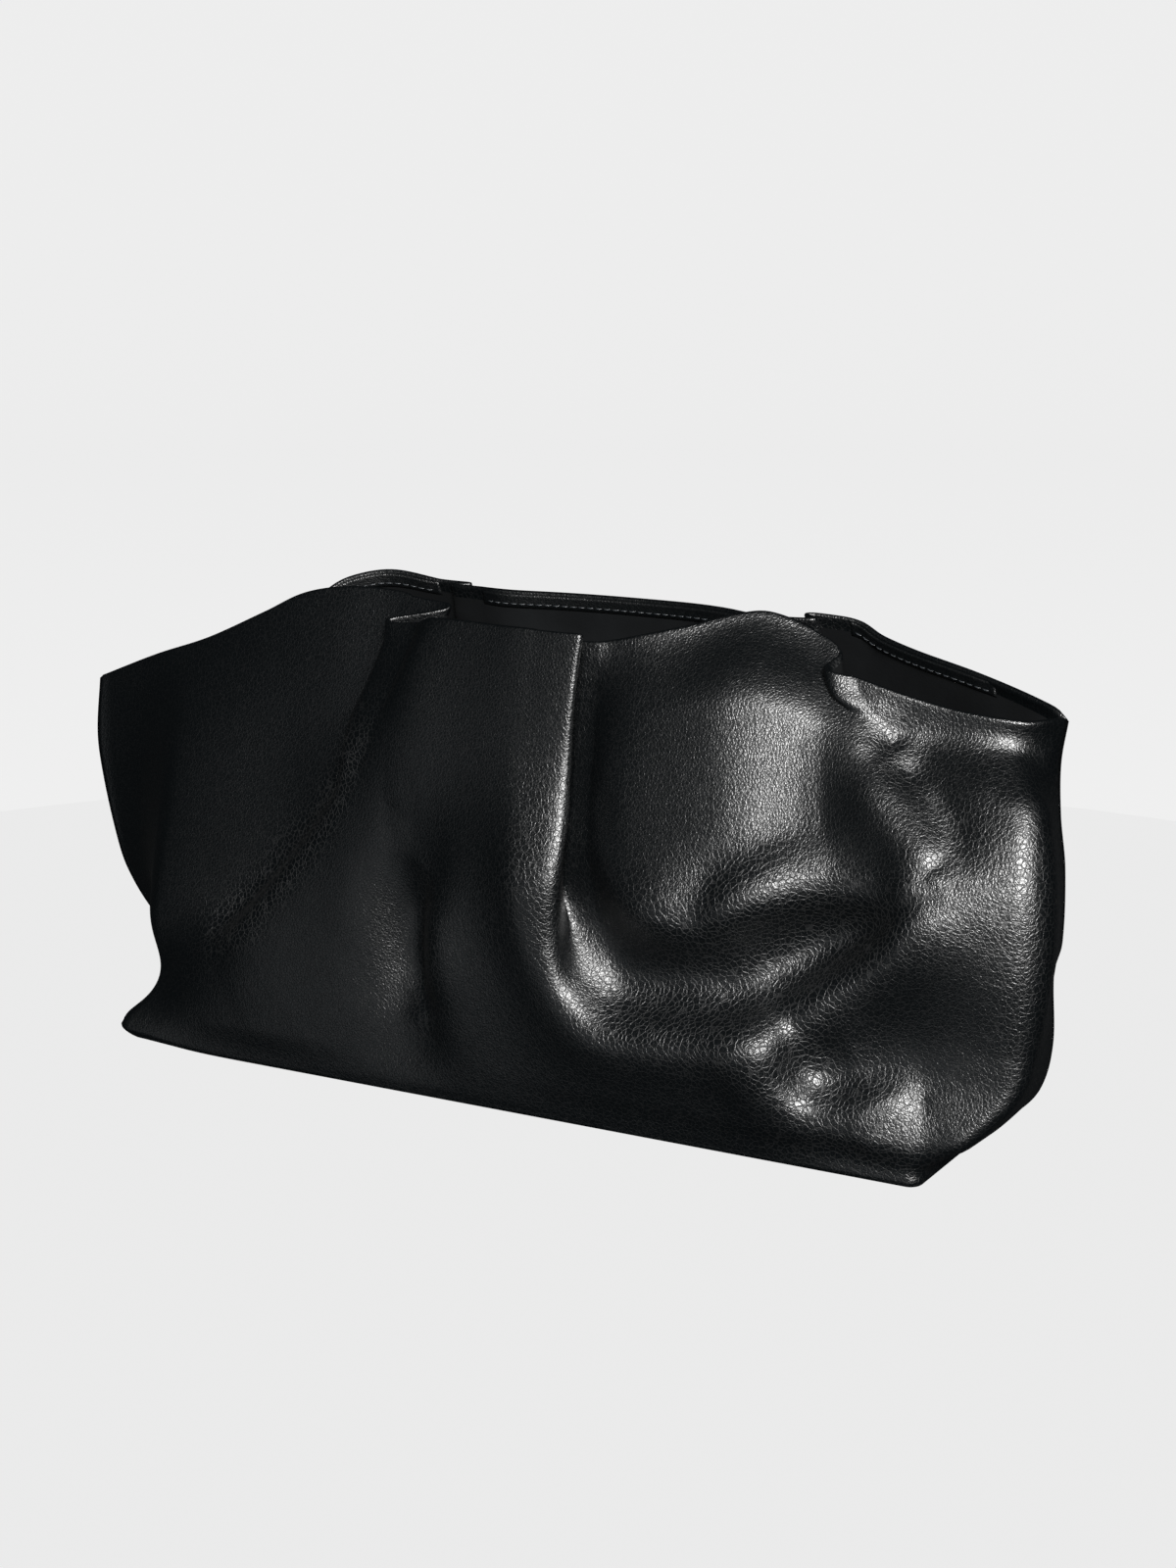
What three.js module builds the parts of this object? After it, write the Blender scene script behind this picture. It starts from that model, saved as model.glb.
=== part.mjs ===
// A large soft leather pouch clutch with an open pleated mouth, standing on its flat base.
// X runs along the bag, the front faces -Y, Z is up, and z = 0 is the surface that it stands on.
import * as THREE from 'three';

// Driving sizes, in millimetres
const BASE_LENGTH = 306;
const BASE_DEPTH = 95;
const TOP_SPAN = 377.5;
const BAG_HEIGHT = 169;
const LEAN = 10.5;
const FRONT_MOUTH = 37;
const BACK_MOUTH = 23;
const FRONT_BELLY = 8;
const BACK_BELLY = 7;
const LEATHER = 1.6;
const CORNER_RADIUS = 5;
const BOTTOM_RADIUS = 2.2;
const BASE_TURN = 12;
const EAR_REACH = 6;
const EAR_LIFT = 4;
const FOLD_RELIEF = 10;
const FOLD_WIDTH = 20;
const PLEAT_TUCK = 11;
const PLEAT_LIFT = 2.6;
const PLEAT_HALF_WIDTH = 12;
const HEM_HEIGHT = 5;
const HEM_DROP = 1.2;
const HEM_THICKNESS = 1.2;
const FOLD_START = 15;
const CLEARANCE = 0.3;

// Colours and finish of the leather, its cut edge and the underside
const LEATHER_COLOUR = 0x0c0f12;
const HEM_COLOUR = 0x15191d;
const BASE_COLOUR = 0x101316;
const LEATHER_ROUGHNESS = 0.42;

// Derived sizes
const HALF_LENGTH = BASE_LENGTH / 2;
const HALF_DEPTH = BASE_DEPTH / 2;
const HALF_SPAN = TOP_SPAN / 2;
const HALF_LEATHER = LEATHER / 2;
const SEAM_GAP = CLEARANCE / 2;
const PANEL_RUN = BASE_LENGTH + BASE_DEPTH;
const LEFT_CORNER = HALF_DEPTH / PANEL_RUN;
const RIGHT_CORNER = 1 - LEFT_CORNER;
const PLEAT_BAND = PLEAT_HALF_WIDTH / PANEL_RUN;

// The mouth's edge from the left side seam to the right one. run: share of the panel's width.
// across: share of half the top span. out: share of that side's mouth depth. up: share of the height.
const FRONT_RIM = [
  { run: 0.000, across: -1.000, out: 0.00, up: 0.734 },
  { run: 0.075, across: -0.835, out: 0.18, up: 0.802 },
  { run: 0.150, across: -0.688, out: 0.30, up: 0.856 },
  { run: 0.215, across: -0.542, out: 0.41, up: 0.925 },
  { run: 0.275, across: -0.441, out: 0.46, up: 0.975 },
  { run: 0.320, across: -0.340, out: 0.50, up: 0.996 },
  { run: 0.375, across: -0.229, out: 0.55, up: 0.996 },
  { run: 0.405, across: -0.176, out: 0.66, up: 0.982 },
  { run: 0.435, across: -0.149, out: 0.82, up: 0.950 },
  { run: 0.470, across: -0.090, out: 0.91, up: 0.964 },
  { run: 0.550, across: 0.065, out: 1.00, up: 0.964 },
  { run: 0.585, across: 0.135, out: 0.99, up: 0.963 },
  { run: 0.605, across: 0.172, out: 0.97, up: 0.959 },
  { run: 0.625, across: 0.205, out: 0.93, up: 0.944 },
  { run: 0.660, across: 0.249, out: 0.87, up: 0.948 },
  { run: 0.720, across: 0.366, out: 0.80, up: 0.976 },
  { run: 0.755, across: 0.434, out: 0.76, up: 0.998 },
  { run: 0.785, across: 0.493, out: 0.70, up: 1.004 },
  { run: 0.825, across: 0.580, out: 0.60, up: 0.968 },
  { run: 0.845, across: 0.612, out: 0.53, up: 0.936 },
  { run: 0.862, across: 0.634, out: 0.48, up: 0.919 },
  { run: 0.885, across: 0.675, out: 0.46, up: 0.902 },
  { run: 0.945, across: 0.833, out: 0.42, up: 0.859 },
  { run: 0.972, across: 0.954, out: 0.36, up: 0.846 },
  { run: 0.986, across: 0.985, out: 0.18, up: 0.845 },
  { run: 1.000, across: 1.000, out: 0.00, up: 0.840 },
];
const BACK_RIM = [
  { run: 0.000, across: -1.000, out: 0.00, up: 0.734 },
  { run: 0.080, across: -0.840, out: 0.15, up: 0.781 },
  { run: 0.160, across: -0.681, out: 0.30, up: 0.840 },
  { run: 0.235, across: -0.527, out: 0.50, up: 0.935 },
  { run: 0.262, across: -0.473, out: 0.70, up: 0.979 },
  { run: 0.300, across: -0.388, out: 0.90, up: 1.000 },
  { run: 0.365, across: -0.266, out: 0.85, up: 0.982 },
  { run: 0.440, across: -0.120, out: 0.90, up: 0.982 },
  { run: 0.580, across: 0.160, out: 1.00, up: 0.979 },
  { run: 0.660, across: 0.324, out: 0.90, up: 0.979 },
  { run: 0.735, across: 0.468, out: 0.70, up: 0.972 },
  { run: 0.765, across: 0.526, out: 0.85, up: 0.974 },
  { run: 0.785, across: 0.568, out: 0.95, up: 0.965 },
  { run: 0.808, across: 0.610, out: 0.90, up: 0.944 },
  { run: 0.835, across: 0.670, out: 0.80, up: 0.928 },
  { run: 0.915, across: 0.827, out: 0.50, up: 0.897 },
  { run: 0.985, across: 0.975, out: 0.10, up: 0.858 },
  { run: 1.000, across: 1.000, out: 0.00, up: 0.840 },
];

// How far the edge itself leans into the mouth. roll: share of the mouth depth.
const FRONT_ROLL = [
  { run: 0.000, roll: 0.00 },
  { run: 0.375, roll: 0.00 },
  { run: 0.405, roll: 0.04 },
  { run: 0.435, roll: 0.00 },
  { run: 0.625, roll: 0.00 },
  { run: 0.660, roll: 0.06 },
  { run: 0.720, roll: 0.25 },
  { run: 0.755, roll: 0.38 },
  { run: 0.785, roll: 0.42 },
  { run: 0.825, roll: 0.36 },
  { run: 0.845, roll: 0.20 },
  { run: 0.862, roll: 0.05 },
  { run: 0.885, roll: 0.00 },
  { run: 1.000, roll: 0.00 },
];
const BACK_ROLL = [
  { run: 0.00, roll: 0.00 },
  { run: 1.00, roll: 0.00 },
];

// How far each end has spread from the base's edge to its top corner. height: share of that end's height.
const LEFT_END = [
  { height: 0.00, spread: 0.00 },
  { height: 0.08, spread: 0.06 },
  { height: 0.16, spread: 0.26 },
  { height: 0.27, spread: 0.58 },
  { height: 0.40, spread: 0.80 },
  { height: 0.51, spread: 0.90 },
  { height: 0.69, spread: 1.01 },
  { height: 0.82, spread: 1.05 },
  { height: 1.00, spread: 1.00 },
];
const RIGHT_END = [
  { height: 0.00, spread: 0.00 },
  { height: 0.07, spread: 0.45 },
  { height: 0.14, spread: 0.80 },
  { height: 0.25, spread: 0.95 },
  { height: 0.42, spread: 0.93 },
  { height: 0.49, spread: 1.02 },
  { height: 0.66, spread: 1.02 },
  { height: 0.78, spread: 0.94 },
  { height: 0.90, spread: 0.92 },
  { height: 1.00, spread: 1.00 },
];

// The front right corner, which folds from the base's corner towards the seam. height: share of the height.
// run: its place along the panel. across: share of half the top span. out: share of half the base's depth.
const CORNER_LINE = [
  { height: 0.00, run: 0.882, across: 0.866, out: 0.98 },
  { height: 0.10, run: 0.905, across: 0.942, out: 0.94 },
  { height: 0.20, run: 0.935, across: 1.012, out: 0.82 },
  { height: 0.30, run: 0.950, across: 1.032, out: 0.75 },
  { height: 0.50, run: 0.957, across: 1.038, out: 0.68 },
  { height: 0.75, run: 0.962, across: 1.022, out: 0.58 },
  { height: 0.90, run: 0.967, across: 1.000, out: 0.47 },
  { height: 1.00, run: 0.972, across: 0.954, out: 0.27 },
];

// How the panels bulge between base and mouth. bulge: share of that side's belly.
const FRONT_BULGE = [
  { run: 0.00, bulge: 0.0 },
  { run: 0.06, bulge: 0.5 },
  { run: 0.12, bulge: 0.3 },
  { run: 0.25, bulge: 0.6 },
  { run: 0.42, bulge: 1.0 },
  { run: 0.62, bulge: 0.9 },
  { run: 0.75, bulge: 1.0 },
  { run: 0.83, bulge: 0.4 },
  { run: 0.92, bulge: 0.2 },
  { run: 1.00, bulge: 0.0 },
];
const BACK_BULGE = [
  { run: 0.00, bulge: 0.0 },
  { run: 0.07, bulge: 0.7 },
  { run: 0.12, bulge: 0.4 },
  { run: 0.30, bulge: 1.0 },
  { run: 0.50, bulge: 0.8 },
  { run: 0.70, bulge: 1.1 },
  { run: 0.88, bulge: 0.5 },
  { run: 0.94, bulge: 0.8 },
  { run: 1.00, bulge: 0.0 },
];

// Hollows in the gussets. run and height: place. wide and tall: half sizes. depth: share of the fold relief.
const FRONT_HOLLOWS = [
  { name: 'left ear notch', run: 0.115, height: 0.16, wide: 0.045, tall: 0.10, depth: 0.75 },
  { name: 'left gusset tuck', run: 0.030, height: 0.20, wide: 0.035, tall: 0.14, depth: 0.60 },
  { name: 'hollow under the left rim', run: 0.250, height: 0.62, wide: 0.100, tall: 0.26, depth: 0.65 },
];
const BACK_HOLLOWS = [
  { name: 'left ear notch', run: 0.115, height: 0.16, wide: 0.045, tall: 0.10, depth: 0.60 },
  { name: 'left gusset tuck', run: 0.030, height: 0.20, wide: 0.035, tall: 0.14, depth: 0.60 },
];

// Knife pleats sewn into the mouth. run: place at the rim. reach: share of the height over which it opens.
// slant and bow: how far it has moved at the base and at half height. over: +1 where its right side lies on
// top, -1 where its left side does. tuck and lift: shares of the pleat sizes.
const FRONT_PLEATS = [
  { name: 'left pleat', run: 0.420, slant: -0.19, bow: 0, over: 1, tuck: 1.0, lift: 0.8, reach: 0.45 },
  { name: 'middle pleat', run: 0.610, slant: 0.01, bow: -0.025, over: -1, tuck: 0.9, lift: 0.9, reach: 0.76 },
  { name: 'right pleat', run: 0.853, slant: 0.02, bow: 0, over: 1, tuck: 0.35, lift: 0.4, reach: 0.10 },
];
const BACK_PLEATS = [
  { name: 'left back pleat', run: 0.385, slant: -0.05, bow: 0, over: -1, tuck: 0.6, lift: 0.7, reach: 0.45 },
  { name: 'right back pleat', run: 0.750, slant: 0.05, bow: 0, over: 1, tuck: 0.6, lift: 0.7, reach: 0.45 },
];

// Folds of the panels. relief: share of the fold relief, out when positive. left and right: its widths on
// each hand along the path, as shares of the fold width. sharp: how wide its crest is, as a share of its
// narrower hand. blend: how softly it turns its corners. path: across, up and strength at each bend.
const FRONT_FOLDS = [
  {
    name: 'left diagonal edge', relief: 0.95, left: 0.35, right: 2, sharp: 0.2, blend: 0.3,
    path: [[-0.56, 0.235, 0.4], [-0.485, 0.283, 0.8], [-0.385, 0.411, 1], [-0.295, 0.539, 1],
      [-0.195, 0.7, 0.9], [-0.135, 0.834, 0.6], [-0.085, 0.95, 0.3]],
  },
  {
    name: 'left diagonal valley', relief: -0.5, left: 1.3, right: 0.3, sharp: 0.2, blend: 0.3,
    path: [[-0.6, 0.247, 0.5], [-0.545, 0.3, 0.9], [-0.43, 0.43, 1], [-0.335, 0.56, 0.9],
      [-0.25, 0.72, 0.8], [-0.19, 0.85, 0.6], [-0.14, 0.95, 0.3]],
  },
  {
    name: 'left bulge', relief: 0.35, left: 1, right: 0.6, sharp: 0.25, blend: 0.3,
    path: [[-0.2, 0.2, 0.6], [-0.21, 0.34, 1], [-0.19, 0.48, 0.8], [-0.14, 0.58, 0.3]],
  },
  {
    name: 'left dimple', relief: -1, left: 1.3, right: 0.4, sharp: 0.25, blend: 0.3,
    path: [[-0.09, 0.17, 0.4], [-0.1, 0.24, 0.9], [-0.102, 0.31, 1], [-0.095, 0.39, 0.9],
      [-0.075, 0.48, 0.3]],
  },
  {
    name: 'left dimple far side', relief: 0.45, left: 0.45, right: 0.9, sharp: 0.3, blend: 0.3,
    path: [[-0.055, 0.2, 0.3], [-0.062, 0.29, 1], [-0.058, 0.38, 1], [-0.04, 0.47, 0.4]],
  },
  {
    name: 'main ridge', relief: 1, left: 0.3, right: 1.1, sharp: 0.3, blend: 0.3,
    path: [[0.18, 0.83, 0], [0.168, 0.71, 0], [0.163, 0.6, 0.4], [0.172, 0.494, 1], [0.2, 0.386, 1],
      [0.245, 0.29, 1], [0.3, 0.24, 1], [0.387, 0.236, 1], [0.471, 0.25, 1], [0.55, 0.251, 1],
      [0.598, 0.272, 1], [0.652, 0.319, 1], [0.72, 0.375, 1], [0.787, 0.425, 1], [0.83, 0.475, 0.9],
      [0.88, 0.545, 0.5]],
  },
  {
    name: 'upper main valley', relief: -1, left: 0.6, right: 0.22, sharp: 0.3, blend: 0.3,
    path: [[0.215, 0.96, 0.4], [0.2, 0.82, 0.8], [0.192, 0.71, 1], [0.19, 0.6, 1], [0.2, 0.5, 0.8],
      [0.215, 0.42, 0.3]],
  },
  {
    name: 'main valley', relief: -1.1, left: 1.4, right: 0.3, sharp: 0.3, blend: 0.3,
    path: [[0.19, 0.56, 0.1], [0.2, 0.479, 0.6], [0.222, 0.39, 1], [0.262, 0.308, 1], [0.32, 0.268, 1],
      [0.421, 0.275, 1], [0.515, 0.29, 1], [0.584, 0.312, 1], [0.628, 0.354, 1], [0.692, 0.409, 1],
      [0.763, 0.466, 1], [0.82, 0.515, 0.8], [0.87, 0.565, 0.4]],
  },
  {
    name: 'right lobe', relief: 1.15, left: 1.2, right: 0.5, sharp: 0.4, blend: 0.6,
    path: [[0.262, 0.64, 0.2], [0.278, 0.55, 0.5], [0.33, 0.48, 0.7], [0.4, 0.455, 0.8],
      [0.479, 0.465, 0.9], [0.56, 0.5, 1], [0.64, 0.52, 1], [0.72, 0.525, 1], [0.79, 0.535, 0.9],
      [0.84, 0.56, 0.8], [0.868, 0.59, 0.4]],
  },
  {
    name: 'lobe crease', relief: -0.35, left: 0.5, right: 0.3, sharp: 0.3, blend: 0.3,
    path: [[0.465, 0.47, 1], [0.49, 0.53, 1], [0.56, 0.6, 0.5], [0.64, 0.635, 0.2]],
  },
  {
    name: 'upper swell', relief: 0.5, left: 1.2, right: 0.6, sharp: 0.4, blend: 0.3,
    path: [[0.5, 0.7, 0.2], [0.6, 0.715, 0.6], [0.69, 0.74, 1], [0.75, 0.745, 0.9]],
  },
  {
    name: 'shoulder ridge', relief: 0.55, left: 0.35, right: 0.7, sharp: 0.25, blend: 0.3,
    path: [[0.733, 0.8, 0.3], [0.735, 0.76, 0.8], [0.749, 0.706, 1], [0.799, 0.672, 1],
      [0.843, 0.638, 1], [0.861, 0.601, 1], [0.856, 0.566, 0.8]],
  },
  {
    name: 'shoulder valley', relief: -0.85, left: 0.45, right: 0.4, sharp: 0.25, blend: 0.3,
    path: [[0.75, 0.755, 0.8], [0.777, 0.74, 1], [0.813, 0.705, 1], [0.842, 0.675, 0.9],
      [0.875, 0.634, 1], [0.888, 0.59, 0.9], [0.878, 0.542, 0.6], [0.843, 0.486, 0.3]],
  },
  {
    name: 'low wandering ridge', relief: 0.55, left: 0.35, right: 0.7, sharp: 0.3, blend: 0.3,
    path: [[0.589, 0.257, 0.6], [0.603, 0.22, 1], [0.617, 0.167, 1], [0.663, 0.126, 1],
      [0.741, 0.129, 1], [0.809, 0.149, 0.9], [0.86, 0.16, 0.3]],
  },
  {
    name: 'low dimple', relief: -0.55, left: 0.35, right: 0.35, sharp: 0.3, blend: 0.3,
    path: [[0.625, 0.261, 0.8], [0.636, 0.204, 1], [0.661, 0.16, 0.6]],
  },
  {
    name: 'low second dimple', relief: -0.4, left: 0.35, right: 0.4, sharp: 0.3, blend: 0.3,
    path: [[0.699, 0.217, 0.8], [0.713, 0.162, 1]],
  },
  {
    name: 'low shelf', relief: 0.3, left: 0.5, right: 0.7, sharp: 0.3, blend: 0.3,
    path: [[0.726, 0.252, 0.5], [0.782, 0.227, 1], [0.832, 0.198, 0.5]],
  },
  {
    name: 'low corner crease', relief: 0.3, left: 0.4, right: 0.3, sharp: 0.3, blend: 0.3,
    path: [[0.74, 0.09, 0.4], [0.782, 0.075, 1], [0.84, 0.055, 0.8]],
  },
];
const BACK_FOLDS = [
  {
    name: 'left back edge', relief: 0.8, left: 1.2, right: 0.5, sharp: 0.25, blend: 0.3,
    path: [[-0.34, 0.3, 0.3], [-0.28, 0.48, 0.8], [-0.23, 0.68, 1], [-0.21, 0.92, 0.5]],
  },
  {
    name: 'left back valley', relief: -0.6, left: 0.5, right: 1.2, sharp: 0.25, blend: 0.3,
    path: [[-0.26, 0.32, 0.3], [-0.21, 0.5, 0.8], [-0.17, 0.7, 1], [-0.16, 0.9, 0.5]],
  },
  {
    name: 'back sag', relief: 0.6, left: 0.8, right: 1.4, sharp: 0.25, blend: 0.3,
    path: [[-0.55, 0.34, 0.3], [-0.2, 0.24, 1], [0.15, 0.22, 1], [0.52, 0.33, 0.3]],
  },
  {
    name: 'right back edge', relief: 0.8, left: 0.5, right: 1.3, sharp: 0.25, blend: 0.3,
    path: [[0.62, 0.3, 0.3], [0.56, 0.5, 0.8], [0.51, 0.7, 1], [0.49, 0.92, 0.5]],
  },
  {
    name: 'right back valley', relief: -0.6, left: 1.3, right: 0.5, sharp: 0.25, blend: 0.3,
    path: [[0.55, 0.32, 0.3], [0.49, 0.52, 0.8], [0.45, 0.72, 1], [0.44, 0.9, 0.5]],
  },
];

const FRONT = {
  side: -1, mouth: FRONT_MOUTH, belly: FRONT_BELLY, rim: FRONT_RIM, roll: FRONT_ROLL, corner: CORNER_LINE,
  bulge: FRONT_BULGE, hollows: FRONT_HOLLOWS, pleats: FRONT_PLEATS, folds: FRONT_FOLDS, columns: 68, rows: 24,
};
const BACK = {
  side: 1, mouth: BACK_MOUTH, belly: BACK_BELLY, rim: BACK_RIM, roll: BACK_ROLL, corner: null,
  bulge: BACK_BULGE, hollows: BACK_HOLLOWS, pleats: BACK_PLEATS, folds: BACK_FOLDS, columns: 44, rows: 13,
};

// Smooth curve through one column of a table
function along(table, key, column, at) {
  const last = table.length - 1;
  let i = 0;
  while (i < last - 1 && at > table[i + 1][key]) i += 1;
  const slope = (j) => {
    const a = table[Math.max(j - 1, 0)];
    const b = table[Math.min(j + 1, last)];
    return (b[column] - a[column]) / (b[key] - a[key]);
  };
  const width = table[i + 1][key] - table[i][key];
  const t = (at - table[i][key]) / width;
  const t2 = t * t;
  const t3 = t2 * t;
  return (2 * t3 - 3 * t2 + 1) * table[i][column] + (t3 - 2 * t2 + t) * width * slope(i)
    + (3 * t2 - 2 * t3) * table[i + 1][column] + (t3 - t2) * width * slope(i + 1);
}

function smoothStep(from, to, value) {
  const t = THREE.MathUtils.clamp((value - from) / (to - from), 0, 1);
  return t * t * (3 - 2 * t);
}

function bell(distance, width) {
  return Math.exp(-((distance / width) ** 2));
}

// Half of the base's outline, from the middle of its left end round one long side to the right end
function basePlan(run, side, inset) {
  const halfLength = HALF_LENGTH - inset;
  const halfDepth = HALF_DEPTH - inset;
  const radius = Math.max(CORNER_RADIUS - inset, HALF_LEATHER);
  const mirror = run > 0.5 ? -1 : 1;
  const share = run > 0.5 ? 1 - run : run;
  const endRun = halfDepth - radius;
  const arcShare = CORNER_RADIUS / PANEL_RUN;
  const arcStart = LEFT_CORNER - arcShare;
  const arcEnd = LEFT_CORNER + arcShare;
  let x = -halfLength;
  let y = 0;
  if (share < arcStart) {
    y = endRun * share / arcStart;
  } else if (share < arcEnd) {
    const angle = (share - arcStart) / (arcEnd - arcStart) * Math.PI / 2;
    x = -halfLength + radius * (1 - Math.cos(angle));
    y = endRun + radius * Math.sin(angle);
  } else {
    x = (radius - halfLength) * (0.5 - share) / (0.5 - arcEnd);
    y = halfDepth;
  }
  return new THREE.Vector2(mirror * x + LEAN, side * y);
}

// How far along the panel the rim's small steps are evened out at the base, how fast that grows down from the
// rim, and the steps and weights of the evening
const RIM_EVENING = 0.05;
const EVENING_GROWTH = 0.6;
const EVENING_STEPS = [[-2, 1], [-1, 2], [0, 3], [1, 2], [2, 1]];
const EVENING_TOTAL = 9;

// Share of the height, from the top, over which the edge leans in
const ROLL_REACH = 0.16;

// The rim as a wall below it feels it: its small steps even out with the distance below
function rimPoint(panel, run, height) {
  const reach = Math.min(RIM_EVENING * (1 - height) ** EVENING_GROWTH, run / 2, (1 - run) / 2);
  const rolled = smoothStep(1 - ROLL_REACH, 1, height);
  const point = new THREE.Vector3();
  for (const [step, weight] of EVENING_STEPS) {
    const at = run + step * reach;
    const out = along(panel.rim, 'run', 'out', at) - rolled * along(panel.roll, 'run', 'roll', at);
    point.addScaledVector(new THREE.Vector3(
      along(panel.rim, 'run', 'across', at) * HALF_SPAN,
      panel.side * Math.max(out, 0) * panel.mouth,
      along(panel.rim, 'run', 'up', at) * BAG_HEIGHT,
    ), weight / EVENING_TOTAL);
  }
  return point;
}

// How far along the panel each end's own spread is felt
const END_FEEL = 0.6 * LEFT_CORNER;

// Share of the way from the base's plan to the rim's plan at a height
function spreadAt(run, height) {
  const left = bell(run, END_FEEL);
  const right = bell(1 - run, END_FEEL);
  return height * (1 - left - right) + left * along(LEFT_END, 'height', 'spread', height)
    + right * along(RIGHT_END, 'height', 'spread', height);
}

function hollowDepth(panel, run, height) {
  let depth = 0;
  for (const hollow of panel.hollows) {
    depth += hollow.depth * bell(run - hollow.run, hollow.wide) * bell(height - hollow.height, hollow.tall);
  }
  return depth * FOLD_RELIEF;
}

// The ears: both lower corners of the left end stand proud and lifted
const EAR_WIDTH = 0.05;
const EAR_HEIGHT = 0.07;

function earShift(point, run, height, side) {
  const near = bell(run - LEFT_CORNER, EAR_WIDTH) * bell(Math.max(height, 0), EAR_HEIGHT);
  const under = smoothStep(-1, 0, height);
  point.x -= near * under * EAR_REACH;
  point.y += side * near * under * EAR_REACH / 4;
  point.z += near * under * EAR_LIFT;
}

// How low on the wall the belly sits: a smaller power puts it lower
const BELLY_POWER = 0.75;

// The panel before its corner is creased. height: -1 to 0 runs under the base and round its edge, and 0 to 1
// up the wall.
function softPoint(panel, run, height) {
  let point;
  if (height < -0.5) {
    const inset = THREE.MathUtils.lerp(BASE_TURN, BOTTOM_RADIUS, (height + 1) * 2);
    const plan = basePlan(run, panel.side, inset);
    point = new THREE.Vector3(plan.x, plan.y, HALF_LEATHER);
  } else if (height < 0) {
    const angle = (height + 0.5) * Math.PI;
    const radius = BOTTOM_RADIUS - HALF_LEATHER;
    const plan = basePlan(run, panel.side, BOTTOM_RADIUS - radius * Math.sin(angle));
    point = new THREE.Vector3(plan.x, plan.y, BOTTOM_RADIUS - radius * Math.cos(angle));
  } else {
    const base = basePlan(run, panel.side, HALF_LEATHER);
    const rim = rimPoint(panel, run, height);
    const spread = spreadAt(run, height);
    const fullness = along(panel.bulge, 'run', 'bulge', run) * panel.belly;
    const swell = Math.sin(Math.PI * height ** BELLY_POWER) * fullness;
    point = new THREE.Vector3(
      THREE.MathUtils.lerp(base.x, rim.x, spread),
      THREE.MathUtils.lerp(base.y, rim.y, spread),
      THREE.MathUtils.lerp(BOTTOM_RADIUS, rim.z, height),
    );
    const out = outwardPlan(run, panel.side);
    const push = swell - hollowDepth(panel, run, height);
    point.x += out.x * push;
    point.y += out.y * push;
  }
  earShift(point, run, height, panel.side);
  return point;
}

// Where along the panel the flat part beside the creased corner starts, how far it eases in, and how far
// along the panel the crease is rounded
const CORNER_START = 0.82;
const CORNER_EASE = 0.08;
const CORNER_SOFTNESS = 0.002;

// Heights below and above which the crease fades
const CORNER_LOW = 0.1;
const CORNER_HIGH = 0.8;

// Steps along the panel over which the crease is averaged
const CORNER_STEPS = [-2, -1, 0, 1, 2];

// How far a place is from one run to another: 0 before the first, and 1 after the second
function stretchShare(run, from, to) {
  return THREE.MathUtils.clamp((run - from) / (to - from), 0, 1);
}

// The panel without pleats and folds, flat on both sides of its right corner's crease
function plainPoint(panel, run, height) {
  const point = softPoint(panel, run, height);
  if (panel.corner === null || run <= CORNER_START || height <= 0) return point;
  const crease = along(panel.corner, 'height', 'run', height);
  const across = along(panel.corner, 'height', 'across', height) * HALF_SPAN;
  const out = along(panel.corner, 'height', 'out', height) * HALF_DEPTH * panel.side;
  const start = softPoint(panel, CORNER_START, height);
  const seam = softPoint(panel, 1, height);
  const eased = smoothStep(CORNER_START, CORNER_START + CORNER_EASE, run);
  const felt = eased * smoothStep(0, CORNER_LOW, height) * (1 - smoothStep(CORNER_HIGH, 1, height));
  const flat = new THREE.Vector2();
  for (const step of CORNER_STEPS) {
    const place = Math.min(run + step * CORNER_SOFTNESS, 1);
    const rise = stretchShare(place, CORNER_START, crease);
    const fall = stretchShare(place, crease, 1);
    flat.x += start.x + (across - start.x) * rise + (seam.x - across) * fall;
    flat.y += start.y + (out - start.y) * rise + (seam.y - out) * fall;
  }
  flat.divideScalar(CORNER_STEPS.length);
  point.x = THREE.MathUtils.lerp(point.x, flat.x, felt);
  point.y = THREE.MathUtils.lerp(point.y, flat.y, felt);
  return point;
}

// Where the way outward starts and stops turning round a corner
const TURN_START = 0.3 * LEFT_CORNER;
const TURN_END = 1.7 * LEFT_CORNER;

// Which way is outward in plan: sideways at the ends, and to the front or back along the long side
function outwardPlan(run, side) {
  const turn = Math.PI / 2 * (smoothStep(TURN_START, TURN_END, run) - 1
    + smoothStep(1 - TURN_END, 1 - TURN_START, run));
  return new THREE.Vector2(Math.sin(turn), side * Math.cos(turn));
}

// Highest value of q (1 - q^2)^2, the swing of a pleat
const SWING_PEAK = 0.286;

// Where a pleat's layers reach their full lift, and how slowly it fades beyond, in half widths of the pleat
const LAYER_EDGE = 0.6;
const LAYER_FADE = 2.2;

// Pleats: the leather doubles back on itself, most at the rim and less below it
function pleatShift(panel, run, height) {
  let forward = 0;
  let out = 0;
  for (const pleat of panel.pleats) {
    const middle = pleat.run + pleat.slant * (1 - height) + pleat.bow * 4 * height * (1 - height);
    const q = (run - middle) / PLEAT_BAND;
    const open = smoothStep(1 - pleat.reach, 1 - pleat.reach / 2, height);
    const swing = Math.abs(q) < 1 ? q * (1 - q * q) ** 2 / SWING_PEAK : 0;
    const edge = Math.sin(Math.PI / 2 * THREE.MathUtils.clamp(q / LAYER_EDGE, -1, 1));
    const layers = edge * bell(Math.max(Math.abs(q) - LAYER_EDGE, 0), LAYER_FADE);
    forward -= open * pleat.tuck * PLEAT_TUCK * swing;
    out += open * pleat.lift * PLEAT_LIFT * pleat.over * layers;
  }
  return { forward, out };
}

// Pieces that each stretch of a fold's path is cut into
const PATH_PIECES = 4;

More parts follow.
